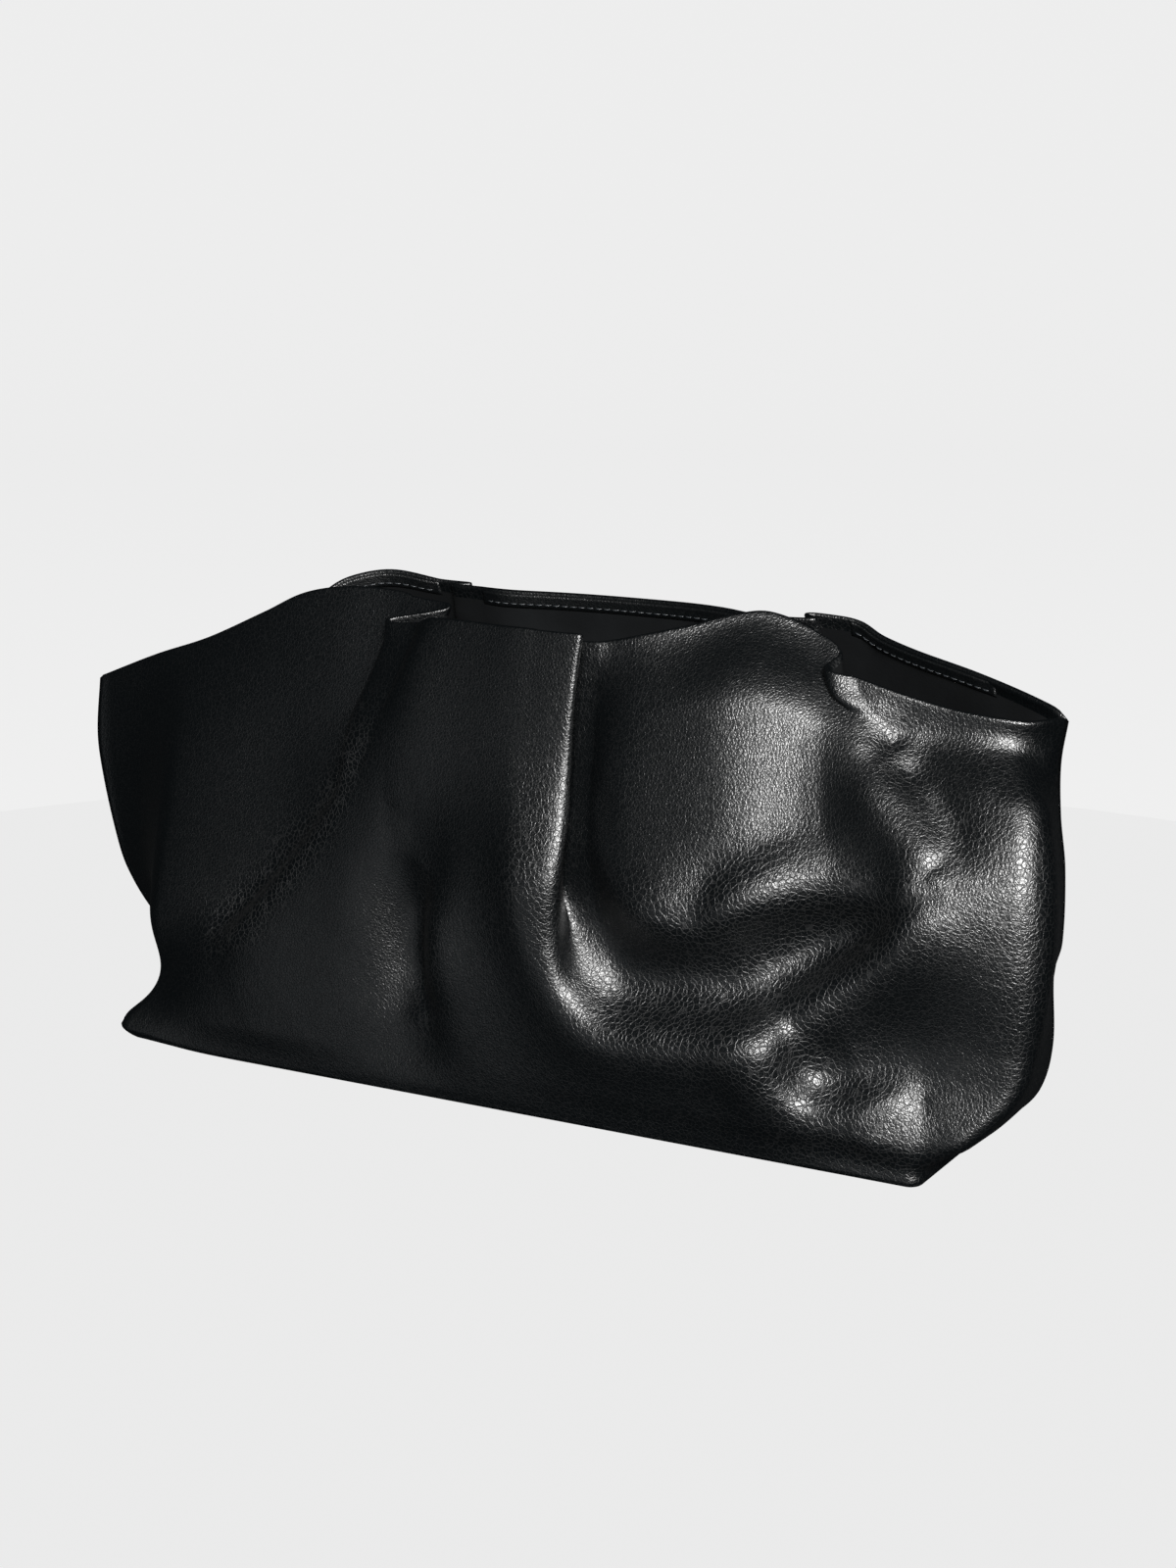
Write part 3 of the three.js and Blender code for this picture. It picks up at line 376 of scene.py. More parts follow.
FRONT_FOLDS = (
    Fold("left diagonal edge", 0.95, 0.35, 2.0, (
        (-0.560, 0.235, 0.4), (-0.485, 0.283, 0.8), (-0.385, 0.411, 1.0), (-0.295, 0.539, 1.0),
        (-0.195, 0.700, 0.9), (-0.135, 0.834, 0.6), (-0.085, 0.950, 0.3)), sharp=0.2),
    Fold("left diagonal valley", -0.5, 1.3, 0.30, (
        (-0.600, 0.247, 0.5), (-0.545, 0.300, 0.9), (-0.430, 0.430, 1.0), (-0.335, 0.560, 0.9),
        (-0.250, 0.720, 0.8), (-0.190, 0.850, 0.6), (-0.140, 0.950, 0.3)), sharp=0.2),
    Fold("left bulge", 0.35, 1.0, 0.6, (
        (-0.20, 0.20, 0.6), (-0.21, 0.34, 1.0), (-0.19, 0.48, 0.8), (-0.14, 0.58, 0.3))),
    Fold("left dimple", -1.05, 1.5, 0.35, (
        (-0.090, 0.170, 0.4), (-0.100, 0.240, 0.9), (-0.102, 0.310, 1.0), (-0.095, 0.390, 0.9),
        (-0.075, 0.480, 0.3)), sharp=0.25),
    Fold("left dimple's far side", 0.45, 0.45, 0.9, (
        (-0.055, 0.200, 0.3), (-0.062, 0.290, 1.0), (-0.058, 0.380, 1.0), (-0.040, 0.470, 0.4)), sharp=0.3),
    Fold("main ridge", 1.0, 0.45, 1.1, (
        (0.180, 0.830, 0.0), (0.168, 0.710, 0.0), (0.163, 0.600, 0.4), (0.172, 0.494, 1.0), (0.200, 0.386, 1.0),
        (0.245, 0.290, 1.0), (0.300, 0.240, 1.0), (0.387, 0.236, 1.0), (0.471, 0.250, 1.0), (0.550, 0.251, 1.0),
        (0.598, 0.272, 1.0), (0.652, 0.319, 1.0), (0.720, 0.375, 1.0), (0.787, 0.425, 1.0), (0.830, 0.475, 0.9),
        (0.880, 0.545, 0.5)), sharp=0.3),
    Fold("upper main valley", -1.0, 0.6, 0.22, (
        (0.215, 0.960, 0.4), (0.200, 0.820, 0.8), (0.192, 0.710, 1.0), (0.190, 0.600, 1.0), (0.200, 0.500, 0.8),
        (0.215, 0.420, 0.3)), sharp=0.3),
    Fold("main valley", -1.0, 1.3, 0.3, (
        (0.190, 0.560, 0.1), (0.200, 0.479, 0.6), (0.222, 0.390, 1.0), (0.262, 0.308, 1.0), (0.320, 0.268, 1.0),
        (0.421, 0.275, 1.0), (0.515, 0.290, 1.0), (0.584, 0.312, 1.0), (0.628, 0.354, 1.0), (0.692, 0.409, 1.0),
        (0.763, 0.466, 1.0), (0.820, 0.515, 0.8), (0.870, 0.565, 0.4)), sharp=0.3),
    Fold("right lobe", 1.15, 1.2, 0.5, (
        (0.262, 0.640, 0.2), (0.278, 0.550, 0.5), (0.330, 0.480, 0.7), (0.400, 0.455, 0.8), (0.479, 0.465, 0.9),
        (0.560, 0.500, 1.0), (0.640, 0.520, 1.0), (0.720, 0.525, 1.0), (0.790, 0.535, 0.9), (0.840, 0.560, 0.8),
        (0.868, 0.590, 0.4)), sharp=0.4, blending=0.6),
    Fold("lobe crease", -0.35, 0.5, 0.3, (
        (0.465, 0.470, 1.0), (0.490, 0.530, 1.0), (0.560, 0.600, 0.5), (0.640, 0.635, 0.2)), sharp=0.3),
    Fold("shoulder ridge", 0.7, 0.55, 2.0, (
        (0.745, 0.790, 0.2), (0.745, 0.755, 0.7), (0.757, 0.715, 1.0), (0.805, 0.675, 1.0), (0.846, 0.638, 0.9),
        (0.862, 0.601, 0.8), (0.856, 0.566, 0.4)), sharp=0.35),
    Fold("shoulder valley", -0.7, 0.5, 0.35, (
        (0.760, 0.775, 0.6), (0.785, 0.745, 1.0), (0.820, 0.712, 1.0), (0.850, 0.682, 1.0), (0.882, 0.640, 0.9),
        (0.895, 0.590, 0.6), (0.885, 0.542, 0.3)), sharp=0.35),
    Fold("corner swell", 0.45, 2.2, 0.5, (
        (0.975, 0.200, 0.3), (0.985, 0.400, 1.0), (0.985, 0.600, 1.0), (0.975, 0.780, 0.4)), sharp=0.4),
    Fold("low wandering ridge", 0.55, 0.35, 0.7, (
        (0.589, 0.257, 0.6), (0.603, 0.220, 1.0), (0.617, 0.167, 1.0), (0.663, 0.126, 1.0), (0.741, 0.129, 1.0),
        (0.809, 0.149, 0.9), (0.860, 0.160, 0.3)), sharp=0.3),
    Fold("low dimple", -0.55, 0.35, 0.35, (
        (0.625, 0.261, 0.8), (0.636, 0.204, 1.0), (0.661, 0.160, 0.6)), sharp=0.3),
    Fold("low second dimple", -0.3, 0.35, 0.4, (
        (0.699, 0.217, 0.8), (0.713, 0.162, 1.0)), sharp=0.3),
    Fold("low shelf", -0.3, 0.9, 0.7, (
        (0.726, 0.232, 0.5), (0.782, 0.207, 1.0), (0.842, 0.178, 0.8)), sharp=0.4),
    Fold("low corner crease", 0.3, 0.4, 0.3, (
        (0.740, 0.090, 0.4), (0.782, 0.075, 1.0), (0.840, 0.055, 0.8)), sharp=0.3),
)
BACK_FOLDS = (
    Fold("left back edge", 0.8, 1.2, 0.5, (
        (-0.34, 0.30, 0.3), (-0.28, 0.48, 0.8), (-0.23, 0.68, 1.0), (-0.21, 0.92, 0.5))),
    Fold("left back valley", -0.6, 0.5, 1.2, (
        (-0.26, 0.32, 0.3), (-0.21, 0.50, 0.8), (-0.17, 0.70, 1.0), (-0.16, 0.90, 0.5))),
    Fold("back sag", 0.6, 0.8, 1.4, (
        (-0.55, 0.34, 0.3), (-0.20, 0.24, 1.0), (0.15, 0.22, 1.0), (0.52, 0.33, 0.3))),
    Fold("right back edge", 0.8, 0.5, 1.3, (
        (0.62, 0.30, 0.3), (0.56, 0.50, 0.8), (0.51, 0.70, 1.0), (0.49, 0.92, 0.5))),
    Fold("right back valley", -0.6, 1.3, 0.5, (
        (0.55, 0.32, 0.3), (0.49, 0.52, 0.8), (0.45, 0.72, 1.0), (0.44, 0.90, 0.5))),
)


def frame_shift() -> np.ndarray:
    """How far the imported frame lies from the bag's own middle, in millimetres.

    Returns:
        The shift along X, Y and Z.
    """
    low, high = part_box("base_panel")
    middle = (low + high) / 2
    return np.array([middle.x / MM - SIZES.lean, middle.y / MM, 0.0])


@dataclass
class Nodes:
    """Short words for the shader nodes that a finish is made of."""

    name: str

    def __post_init__(self) -> None:
        """Starts a material with a Principled shader."""
        self.material = bpy.data.materials.new(self.name)
        self.material.use_nodes = True
        self.tree = self.material.node_tree
        self.shader = self.tree.nodes["Principled BSDF"]
        self.place = self.tree.nodes.new("ShaderNodeTexCoord").outputs["Object"]

    def link(self, source: bpy.types.NodeSocket, target: bpy.types.NodeSocket) -> None:
        """Joins two sockets.

        Args:
            source: the socket to read.
            target: the socket to feed.
        """
        self.tree.links.new(source, target)

    def math(self, operation: str, *values: object) -> bpy.types.NodeSocket:
        """A maths node over sockets and plain numbers.

        Args:
            operation: the node's operation.
            values: a socket or a number for each input.

        Returns:
            The result's socket.
        """
        node = self.tree.nodes.new("ShaderNodeMath")
        node.operation = operation
        for socket, value in zip(node.inputs, values):
            if isinstance(value, bpy.types.NodeSocket):
                self.link(value, socket)
            else:
                socket.default_value = value
        return node.outputs[0]

    def noise(self, scale: float, detail: float, roughness: float = 0.5) -> bpy.types.Node:
        """Soft cloudy noise, with its features a metre wide at scale 1.

        Args:
            scale: how many features a metre holds.
            detail: how many finer layers it has.
            roughness: how strong the finer layers are.

        Returns:
            The noise node.
        """
        node = self.tree.nodes.new("ShaderNodeTexNoise")
        node.inputs["Scale"].default_value = scale
        node.inputs["Detail"].default_value = detail
        node.inputs["Roughness"].default_value = roughness
        self.link(self.place, node.inputs["Vector"])
        return node

    def cells(self, scale: float, place: bpy.types.NodeSocket, feature: str) -> bpy.types.NodeSocket:
        """Distance pattern of small cells, such as the pebbles of a hide.

        Args:
            scale: how many cells a metre holds.
            place: where on the object.
            feature: which distance to measure.

        Returns:
            The distance's socket.
        """
        node = self.tree.nodes.new("ShaderNodeTexVoronoi")
        node.feature = feature
        node.inputs["Scale"].default_value = scale
        self.link(place, node.inputs["Vector"])
        return node.outputs["Distance"]

    def warped(self, amount: float, scale: float) -> bpy.types.NodeSocket:
        """The place on the object, pushed about by noise.

        Args:
            amount: how far the place is pushed, in metres.
            scale: the scale of the noise that pushes it.

        Returns:
            The new place's socket.
        """
        shift = self.tree.nodes.new("ShaderNodeVectorMath")
        shift.operation = "MULTIPLY_ADD"
        self.link(self.noise(scale, 1.0).outputs["Color"], shift.inputs[0])
        shift.inputs[1].default_value = (amount, amount, amount)
        self.link(self.place, shift.inputs[2])
        return shift.outputs[0]

    def ranged(self, value: bpy.types.NodeSocket, low: float, high: float,
               start: float, end: float) -> bpy.types.NodeSocket:
        """Maps low to start and high to end, smoothly.

        Args:
            value: the socket to map.
            low: the value that gives start.
            high: the value that gives end.
            start: the result at low.
            end: the result at high.

        Returns:
            The mapped value's socket.
        """
        node = self.tree.nodes.new("ShaderNodeMapRange")
        node.interpolation_type = "SMOOTHSTEP"
        self.link(value, node.inputs["Value"])
        for name, number in (("From Min", low), ("From Max", high), ("To Min", start), ("To Max", end)):
            node.inputs[name].default_value = number
        return node.outputs[0]

    def blend(self, share: bpy.types.NodeSocket, first: tuple, second: tuple) -> bpy.types.NodeSocket:
        """Mixes two colours by a share from 0 to 1.

        Args:
            share: how much of the second colour.
            first: the colour at 0.
            second: the colour at 1.

        Returns:
            The mixed colour's socket.
        """
        node = self.tree.nodes.new("ShaderNodeMix")
        node.data_type = "RGBA"
        self.link(share, node.inputs[0])
        node.inputs[6].default_value = (*first, 1)
        node.inputs[7].default_value = (*second, 1)
        return node.outputs[2]

    def bump(self, height: bpy.types.NodeSocket, strength: float, depth: float,
             under: bpy.types.NodeSocket | None = None) -> bpy.types.NodeSocket:
        """A bumped normal, laid over another where one is given.

        Args:
            height: the height's socket.
            strength: how strongly it tilts the normal.
            depth: how deep a height of 1 is, in metres.
            under: the normal to lay it over.

        Returns:
            The bumped normal's socket.
        """
        node = self.tree.nodes.new("ShaderNodeBump")
        node.inputs["Strength"].default_value = strength
        node.inputs["Distance"].default_value = depth
        self.link(height, node.inputs["Height"])
        if under is not None:
            self.link(under, node.inputs["Normal"])
        return node.outputs[0]


@dataclass(frozen=True)
class LeatherFinish:
    """Soft pebbled leather: its colours, gloss and the sizes of its grain, in millimetres."""

    name: str
    colour: tuple[float, float, float] = (0.0003, 0.0006, 0.0008)
    worn: tuple[float, float, float] = (0.0010, 0.0014, 0.0017)
    roughness: tuple[float, float] = (0.31, 0.43)
    specular: float = 0.5
    pebble: float = 1.05
    crackle: float = 1.9
    relief: float = 0.13
    wave: float = 0.35

    def material(self) -> bpy.types.Material:
        """Builds the leather from its grain, crackle, soft waves and wear.

        Returns:
            The finished material.
        """
        nodes = Nodes(self.name)
        place = nodes.warped(0.0012, 140.0)
        crease = nodes.tree.nodes.new("ShaderNodeAttribute")
        crease.attribute_name = "crease"
        patches = nodes.ranged(nodes.noise(9.0, 2.0).outputs["Fac"], 0.35, 0.7, 0.12, 0.30)
        broken = nodes.math("MINIMUM", nodes.math("ADD", crease.outputs["Fac"], patches), 1.0)
        pebbles = nodes.ranged(
            nodes.cells(1 / (self.pebble * MM), place, "DISTANCE_TO_EDGE"), 0.0, 0.22, 0.0, 1.0)
        crackle = nodes.ranged(
            nodes.cells(1 / (self.crackle * MM), place, "DISTANCE_TO_EDGE"), 0.0, 0.12, 0.0, 1.0)
        lines = nodes.math("MULTIPLY", nodes.math("SUBTRACT", crackle, 1.0), broken)
        pores = nodes.noise(1500.0, 2.0).outputs["Fac"]
        grain = nodes.math("ADD", nodes.math("MULTIPLY", pebbles, 0.45), lines)
        grain = nodes.math("ADD", grain, nodes.math("MULTIPLY", pores, 0.35))
        waves = nodes.bump(nodes.noise(70.0, 3.0).outputs["Fac"], 0.5, self.wave * MM)
        nodes.link(nodes.bump(grain, 0.7, self.relief * MM, waves), nodes.shader.inputs["Normal"])
        smoky = nodes.ranged(nodes.noise(9.0, 2.0).outputs["Fac"], 0.3, 0.75, 0.0, 1.0)
        wear = nodes.math("MULTIPLY", smoky, nodes.math("ADD", nodes.math("MULTIPLY", broken, 0.5), 0.25))
        nodes.link(nodes.blend(wear, self.colour, self.worn), nodes.shader.inputs["Base Color"])
        low, high = self.roughness
        matt = nodes.math("MULTIPLY", lines, -0.18)
        gloss = nodes.math("ADD", nodes.ranged(grain, -0.6, 0.7, high, low), matt)
        nodes.link(gloss, nodes.shader.inputs["Roughness"])
        nodes.shader.inputs["Specular IOR Level"].default_value = self.specular
        return nodes.material


@dataclass(frozen=True)
class SuedeFinish:
    """The matt flesh side of the leather, seen down in the bag."""

    name: str
    colour: tuple[float, float, float] = (0.0010, 0.0012, 0.0014)
    worn: tuple[float, float, float] = (0.0028, 0.0032, 0.0036)

    def material(self) -> bpy.types.Material:
        """Builds the nap from fine noise.

        Returns:
            The finished material.
        """
        nodes = Nodes(self.name)
        nap = nodes.noise(900.0, 4.0, 0.7).outputs["Fac"]
        brushed = nodes.ranged(nodes.noise(28.0, 3.0).outputs["Fac"], 0.35, 0.7, 0.0, 1.0)
        nodes.link(nodes.blend(brushed, self.colour, self.worn), nodes.shader.inputs["Base Color"])
        nodes.link(nodes.ranged(nap, 0.3, 0.7, 0.82, 0.95), nodes.shader.inputs["Roughness"])
        nodes.link(nodes.bump(nap, 0.5, 0.2 * MM), nodes.shader.inputs["Normal"])
        nodes.shader.inputs["Specular IOR Level"].default_value = 0.08
        return nodes.material


@dataclass(frozen=True)
class ThreadFinish:
    """Waxed sewing thread, twisted from fine strands."""

    name: str
    colour: tuple[float, float, float] = (0.012, 0.014, 0.016)
    worn: tuple[float, float, float] = (0.03, 0.033, 0.036)

    def material(self) -> bpy.types.Material:
        """Builds the twist from a fine wave.

        Returns:
            The finished material.
        """
        nodes = Nodes(self.name)
        twist = nodes.tree.nodes.new("ShaderNodeTexWave")
        twist.bands_direction = "DIAGONAL"
        twist.inputs["Scale"].default_value = 900.0
        twist.inputs["Distortion"].default_value = 1.5
        nodes.link(nodes.place, twist.inputs["Vector"])
        nodes.link(nodes.blend(twist.outputs["Fac"], self.colour, self.worn), nodes.shader.inputs["Base Color"])
        nodes.link(nodes.ranged(twist.outputs["Fac"], 0.0, 1.0, 0.42, 0.3), nodes.shader.inputs["Roughness"])
        nodes.link(nodes.bump(twist.outputs["Fac"], 0.5, 0.08 * MM), nodes.shader.inputs["Normal"])
        return nodes.material


@dataclass(frozen=True)
class Finishes:
    """The finishes that the bag's pieces share."""

    leather: bpy.types.Material
    hem: bpy.types.Material
    base: bpy.types.Material
    suede: bpy.types.Material
    thread: bpy.types.Material

    @classmethod
    def make(cls) -> "Finishes":
        """Makes each finish once.

        Returns:
            The set of finishes.
        """
        return cls(
            leather=LeatherFinish("black_nappa").material(),
            hem=LeatherFinish("turned_hem_nappa", roughness=(0.34, 0.46), pebble=0.9, wave=0.2).material(),
            base=LeatherFinish("base_nappa", roughness=(0.45, 0.6), wave=0.2).material(),
            suede=SuedeFinish("inner_suede").material(),
            thread=ThreadFinish("waxed_thread").material(),
        )


def make_piece(name: str, points: np.ndarray, faces: np.ndarray, slots: np.ndarray,
               materials: list[bpy.types.Material]) -> bpy.types.Object:
    """Makes one smooth mesh object that rides on the bag.

    Args:
        name: the piece's name.
        points: its corners in millimetres, one row each.
        faces: its four-sided faces, as rows of corner numbers.
        slots: the material slot of each face.
        materials: its materials.

    Returns:
        The new object.
    """
    mesh = bpy.data.meshes.new(name)
    mesh.vertices.add(len(points))
    mesh.vertices.foreach_set("co", (points * MM).astype(np.float32).ravel())
    mesh.loops.add(faces.size)
    mesh.loops.foreach_set("vertex_index", faces.astype(np.int32).ravel())
    mesh.polygons.add(len(faces))
    mesh.polygons.foreach_set("loop_start", np.arange(0, faces.size, 4, dtype=np.int32))
    mesh.polygons.foreach_set("material_index", slots.astype(np.int32))
    mesh.update(calc_edges=True)
    mesh.validate()
    mesh.shade_smooth()
    for material in materials:
        mesh.materials.append(material)
    piece = bpy.data.objects.new(name, mesh)
    bpy.context.scene.collection.objects.link(piece)
    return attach(piece, "root")


def unit(vectors: np.ndarray) -> np.ndarray:
    """Vectors of length 1."""
    return vectors / np.maximum(np.linalg.norm(vectors, axis=-1, keepdims=True), 1e-9)


def grid_faces(across: int, around: int, closed: bool) -> np.ndarray:
    """Quads of a grid of corners, column by column.

    Args:
        across: how many columns.
        around: how many corners each column has.
        closed: whether a column's last corner joins its first.

    Returns:
        The faces, as rows of four corner numbers.
    """
    i, j = np.meshgrid(np.arange(across - 1), np.arange(around if closed else around - 1), indexing="ij")
    up = (j + 1) % around
    corners = [i * around + j, (i + 1) * around + j, (i + 1) * around + up, i * around + up]
    return np.stack(corners, -1).reshape(-1, 4)


def end_faces(column: int, around: int, rows: int, flip: bool) -> np.ndarray:
    """Quads that close the end of a folded sheet, pairing its two skins.

    Args:
        column: the end column.
        around: how many corners that column has.
        rows: how many pairs there are.
        flip: whether to turn the faces over.

    Returns:
        The faces, as rows of four corner numbers.
    """
    j = np.arange(rows)
    start = column * around
    quads = np.stack([start + j, start + j + 1, start + around - 2 - j, start + around - 1 - j], -1)
    return quads[:, ::-1] if flip else quads


@dataclass
class Panel:
    """Half of the bag: one leather panel from side seam to side seam, with its pleats and folds.

    mouth is how far its rim stands out from the middle and belly how far it bulges, in millimetres. rim and
    bulge are the tables of its edge and its belly, and columns and rows how fine its mesh is.
    """

    half: Side
    mouth: float
    belly: float
    rim: np.ndarray
    bulge: np.ndarray
    hollows: tuple[Hollow, ...]
    pleats: tuple[Pleat, ...]
    folds: tuple[Fold, ...]
    columns: int
    rows: int
    rim_evening: float = 0.05
    roll_reach: float = 0.16
    edge_extra: float = 0.5
    softening: float = 1.3
    corner_start: float = 0.82
    corner_softness: float = 0.002
    corner_ease: float = 0.08
    cap_steps: int = 6
    run_samples: int = 4000
    rim_crowding: float = 0.10
    crease_passes: int = 14

    def __post_init__(self) -> None:
        """Works out the panel's leather."""
        self.runs = self.column_runs()
        self.heights = self.row_heights(self.rows)
        self.middle, self.fold_height = self.leather(self.runs, self.heights)
        self.normals = self.surface_normals(self.middle)

    @property
    def side(self) -> int:
        """The panel's direction along Y."""
        return self.half.value

    @property
    def name(self) -> str:
        """The panel's name, after its half of the bag."""
        return self.half.name.lower()

    def column_runs(self) -> np.ndarray:
        """Column places: even steps, with more of them in the pleats and corners.

        Returns:
            The share of the panel's foot of each column.
        """
        samples = (np.arange(self.run_samples) + 0.5) / self.run_samples
        weight = np.ones_like(samples)
        for pleat in self.pleats:
            weight += 2.0 * bell(samples - pleat.run, SIZES.pleat_band * 1.3)
        for corner in (SIZES.corner_share, 1 - SIZES.corner_share):
            weight += 1.0 * bell(samples - corner, 0.02)
        total = np.concatenate([[0.0], np.cumsum(weight)])
        steps = np.linspace(0, total[-1], self.columns + 1)
        return np.interp(steps, total, np.linspace(0, 1, self.run_samples + 1))

    def row_heights(self, rows: int) -> np.ndarray:
        """Row heights: the underside, the bottom edge's curve and the wall, closer together at the rim.

        Args:
            rows: how many rows the wall has.

        Returns:
            The share of the wall's height of each row, below 0 round the edge and under the base.
        """
        top = 1 - self.cap_radius(np.zeros(1))[0] / SIZES.bag_height
        steps = np.linspace(0, 1, rows)
        wall = top * (steps + self.rim_crowding * np.sin(np.pi * steps) * steps)
        return np.concatenate([np.linspace(-1, -0.5, 4)[:-1], np.linspace(-0.5, 0, 7)[:-1], wall])

    def cap_radius(self, runs: np.ndarray) -> np.ndarray:
        """Half of the turned edge's thickness along the rim, which thins in the pleats.

        Args:
            runs: column places.

        Returns:
            The radius at each column, in millimetres.
        """
        keep = np.ones_like(runs)
        for pleat in self.pleats:
            keep *= smooth_step(0.7, 1.5, np.abs(runs - pleat.run) / SIZES.pleat_band)
        return (SIZES.leather + self.edge_extra * keep) / 2

    def base_plan(self, run: np.ndarray, inset: np.ndarray) -> tuple[np.ndarray, np.ndarray]:
        """Half of the base's outline, from the middle of its left end round one long side to the right end.

        Args:
            run: share of the panel's foot.
            inset: how far inside the outline, in millimetres.

        Returns:
            X and Y of each place, in millimetres.
        """
        half_length = SIZES.base_length / 2 - inset
        half_depth = SIZES.base_depth / 2 - inset
        radius = np.maximum(SIZES.corner_radius - inset, SIZES.leather / 2)
        mirror = np.where(run > 0.5, -1.0, 1.0)
        share = np.where(run > 0.5, 1 - run, run)
        corner = SIZES.corner_share
        arc = SIZES.corner_radius / SIZES.panel_run
        end_run = half_depth - radius
        angle = np.clip((share - corner + arc) / (2 * arc), 0, 1) * np.pi / 2
        t = np.clip((share - corner - arc) / (0.5 - corner - arc), 0, 1)
        on_end, on_arc = share < corner - arc, share < corner + arc
        arc_x = -half_length + radius * (1 - np.cos(angle))
        x = np.where(on_end, -half_length, np.where(on_arc, arc_x, (radius - half_length) * (1 - t)))
        y = np.where(on_end, end_run * share / (corner - arc),
                     np.where(on_arc, end_run + radius * np.sin(angle), half_depth))
        return mirror * x + SIZES.lean, self.side * y

    def rim_place(self, run: np.ndarray, height: np.ndarray) -> np.ndarray:
        """The rim as a wall below it feels it: its small steps even out with the distance below.

        Args:
            run: share of the panel's foot.
            height: share of the wall's height.

        Returns:
            X, Y and Z of the rim's place, in millimetres.
        """
        below = np.maximum(1 - np.maximum(height, 0), 0)
        reach = np.minimum(self.rim_evening * below ** 0.6, np.minimum(run, 1 - run) / 2)
        rolled = smooth_step(1 - self.roll_reach, 1, height)
        place = np.zeros((*reach.shape, 3))
        for step, weight in ((-2, 1), (-1, 2), (0, 3), (1, 2), (2, 1)):
            at = run + step * reach
            place[..., 0] += weight / 9 * along(self.rim, 1, at) * SIZES.top_span / 2
            out = along(self.rim, 2, at) - rolled * along(self.rim, 4, at)
            place[..., 1] += weight / 9 * self.side * np.maximum(out, 0) * self.mouth
            place[..., 2] += weight / 9 * along(self.rim, 3, at) * SIZES.bag_height
        return place

    def spread(self, run: np.ndarray, height: np.ndarray) -> np.ndarray:
        """Share of the way from the base's plan to the rim's plan at a height.

        Args:
            run: share of the panel's foot.
            height: share of the wall's height.

        Returns:
            The share at each place.
        """
        left = bell(run, SIZES.corner_share * 0.6)
        right = bell(1 - run, SIZES.corner_share * 0.6)
        return (height * (1 - left - right) + left * along(LEFT_END, 1, height)
                + right * along(RIGHT_END, 1, height))

    def outward(self, run: np.ndarray) -> tuple[np.ndarray, np.ndarray]:
        """Which way is outward in plan: sideways at the ends, and to the front or back along the long side.

        Args:
            run: share of the panel's foot.

        Returns:
            X and Y of the outward direction.
        """
        reach = SIZES.corner_share
        turn = np.pi / 2 * (smooth_step(0.3 * reach, 1.7 * reach, run) - 1
                            + smooth_step(1 - 1.7 * reach, 1 - 0.3 * reach, run))
        return np.sin(turn), self.side * np.cos(turn)

    def soft(self, run: np.ndarray, height: np.ndarray) -> np.ndarray:
        """The panel before its corner is creased; heights below 0 run under the base and round its edge.

        Args:
            run: share of the panel's foot.
            height: share of the wall's height, from -1 under the base.

        Returns:
            The places in millimetres.
        """
        half = SIZES.leather / 2
        angle = np.clip((height + 0.5) * np.pi, 0, np.pi / 2)
        under = SIZES.base_turn + (SIZES.bottom_radius - SIZES.base_turn) * np.clip((height + 1) * 2, 0, 1)
        curve = half + (SIZES.bottom_radius - half) * (1 - np.sin(angle))
        inset = np.where(height < -0.5, under, curve)
        x, y = self.base_plan(run, inset)
        z = SIZES.bottom_radius - (SIZES.bottom_radius - half) * np.cos(angle)
        wall = np.maximum(height, 0)
        rim = self.rim_place(run, wall)
        spread = np.where(height > 0, self.spread(run, wall), 0)
        swell = np.sin(np.pi * wall ** 0.75) * along(self.bulge, 1, run) * self.belly
        depth = sum(h.depth * bell(run - h.run, h.wide) * bell(wall - h.height, h.tall) for h in self.hollows)
        push = np.where(height > 0, swell - depth * SIZES.fold_relief, 0)
        out_x, out_y = self.outward(run)
        x = x + (rim[..., 0] - x) * spread + out_x * push
        y = y + (rim[..., 1] - y) * spread + out_y * push
        z = np.where(height > 0, SIZES.bottom_radius + (rim[..., 2] - SIZES.bottom_radius) * wall, z)
        near = bell(run - SIZES.corner_share, 0.05) * bell(wall, 0.07) * smooth_step(-1, 0, height)
        return np.stack([x - near * SIZES.ear_reach, y + self.side * near * SIZES.ear_reach / 4,
                         z + near * SIZES.ear_lift], -1)

    def plain(self, run: np.ndarray, height: np.ndarray) -> np.ndarray:
        """The panel without pleats and folds, its right corner creased along the corner line.

        Args:
            run: share of the panel's foot.
            height: share of the wall's height, from -1 under the base.

        Returns:
            The places in millimetres.
        """
        place = self.soft(run, height)
        if self.side > 0:
            return place
        wall = np.clip(height, 0, 1)
        crease = along(CORNER_LINE, 1, wall)
        corner = np.stack([along(CORNER_LINE, 2, wall) * SIZES.top_span / 2,
                           self.side * along(CORNER_LINE, 3, wall) * SIZES.base_depth / 2], -1)
        start = self.soft(np.full_like(run, self.corner_start), height)[..., :2]
        seam = self.soft(np.ones_like(run), height)[..., :2]
        flat = np.zeros_like(corner)
        for step in (-2, -1, 0, 1, 2):
            at = np.clip(run + step * self.corner_softness, 0, 1)
            rise = np.clip((at - self.corner_start) / (crease - self.corner_start), 0, 1)[..., None]
            fall = np.clip((at - crease) / (1 - crease), 0, 1)[..., None]
            flat += (start + (corner - start) * rise + (seam - corner) * fall) / 5
        felt = smooth_step(self.corner_start, self.corner_start + self.corner_ease, run)
        felt = felt * smooth_step(0, 0.1, height) * (1 - smooth_step(0.8, 1, height))
        place[..., :2] += (flat - place[..., :2]) * felt[..., None]
        return place

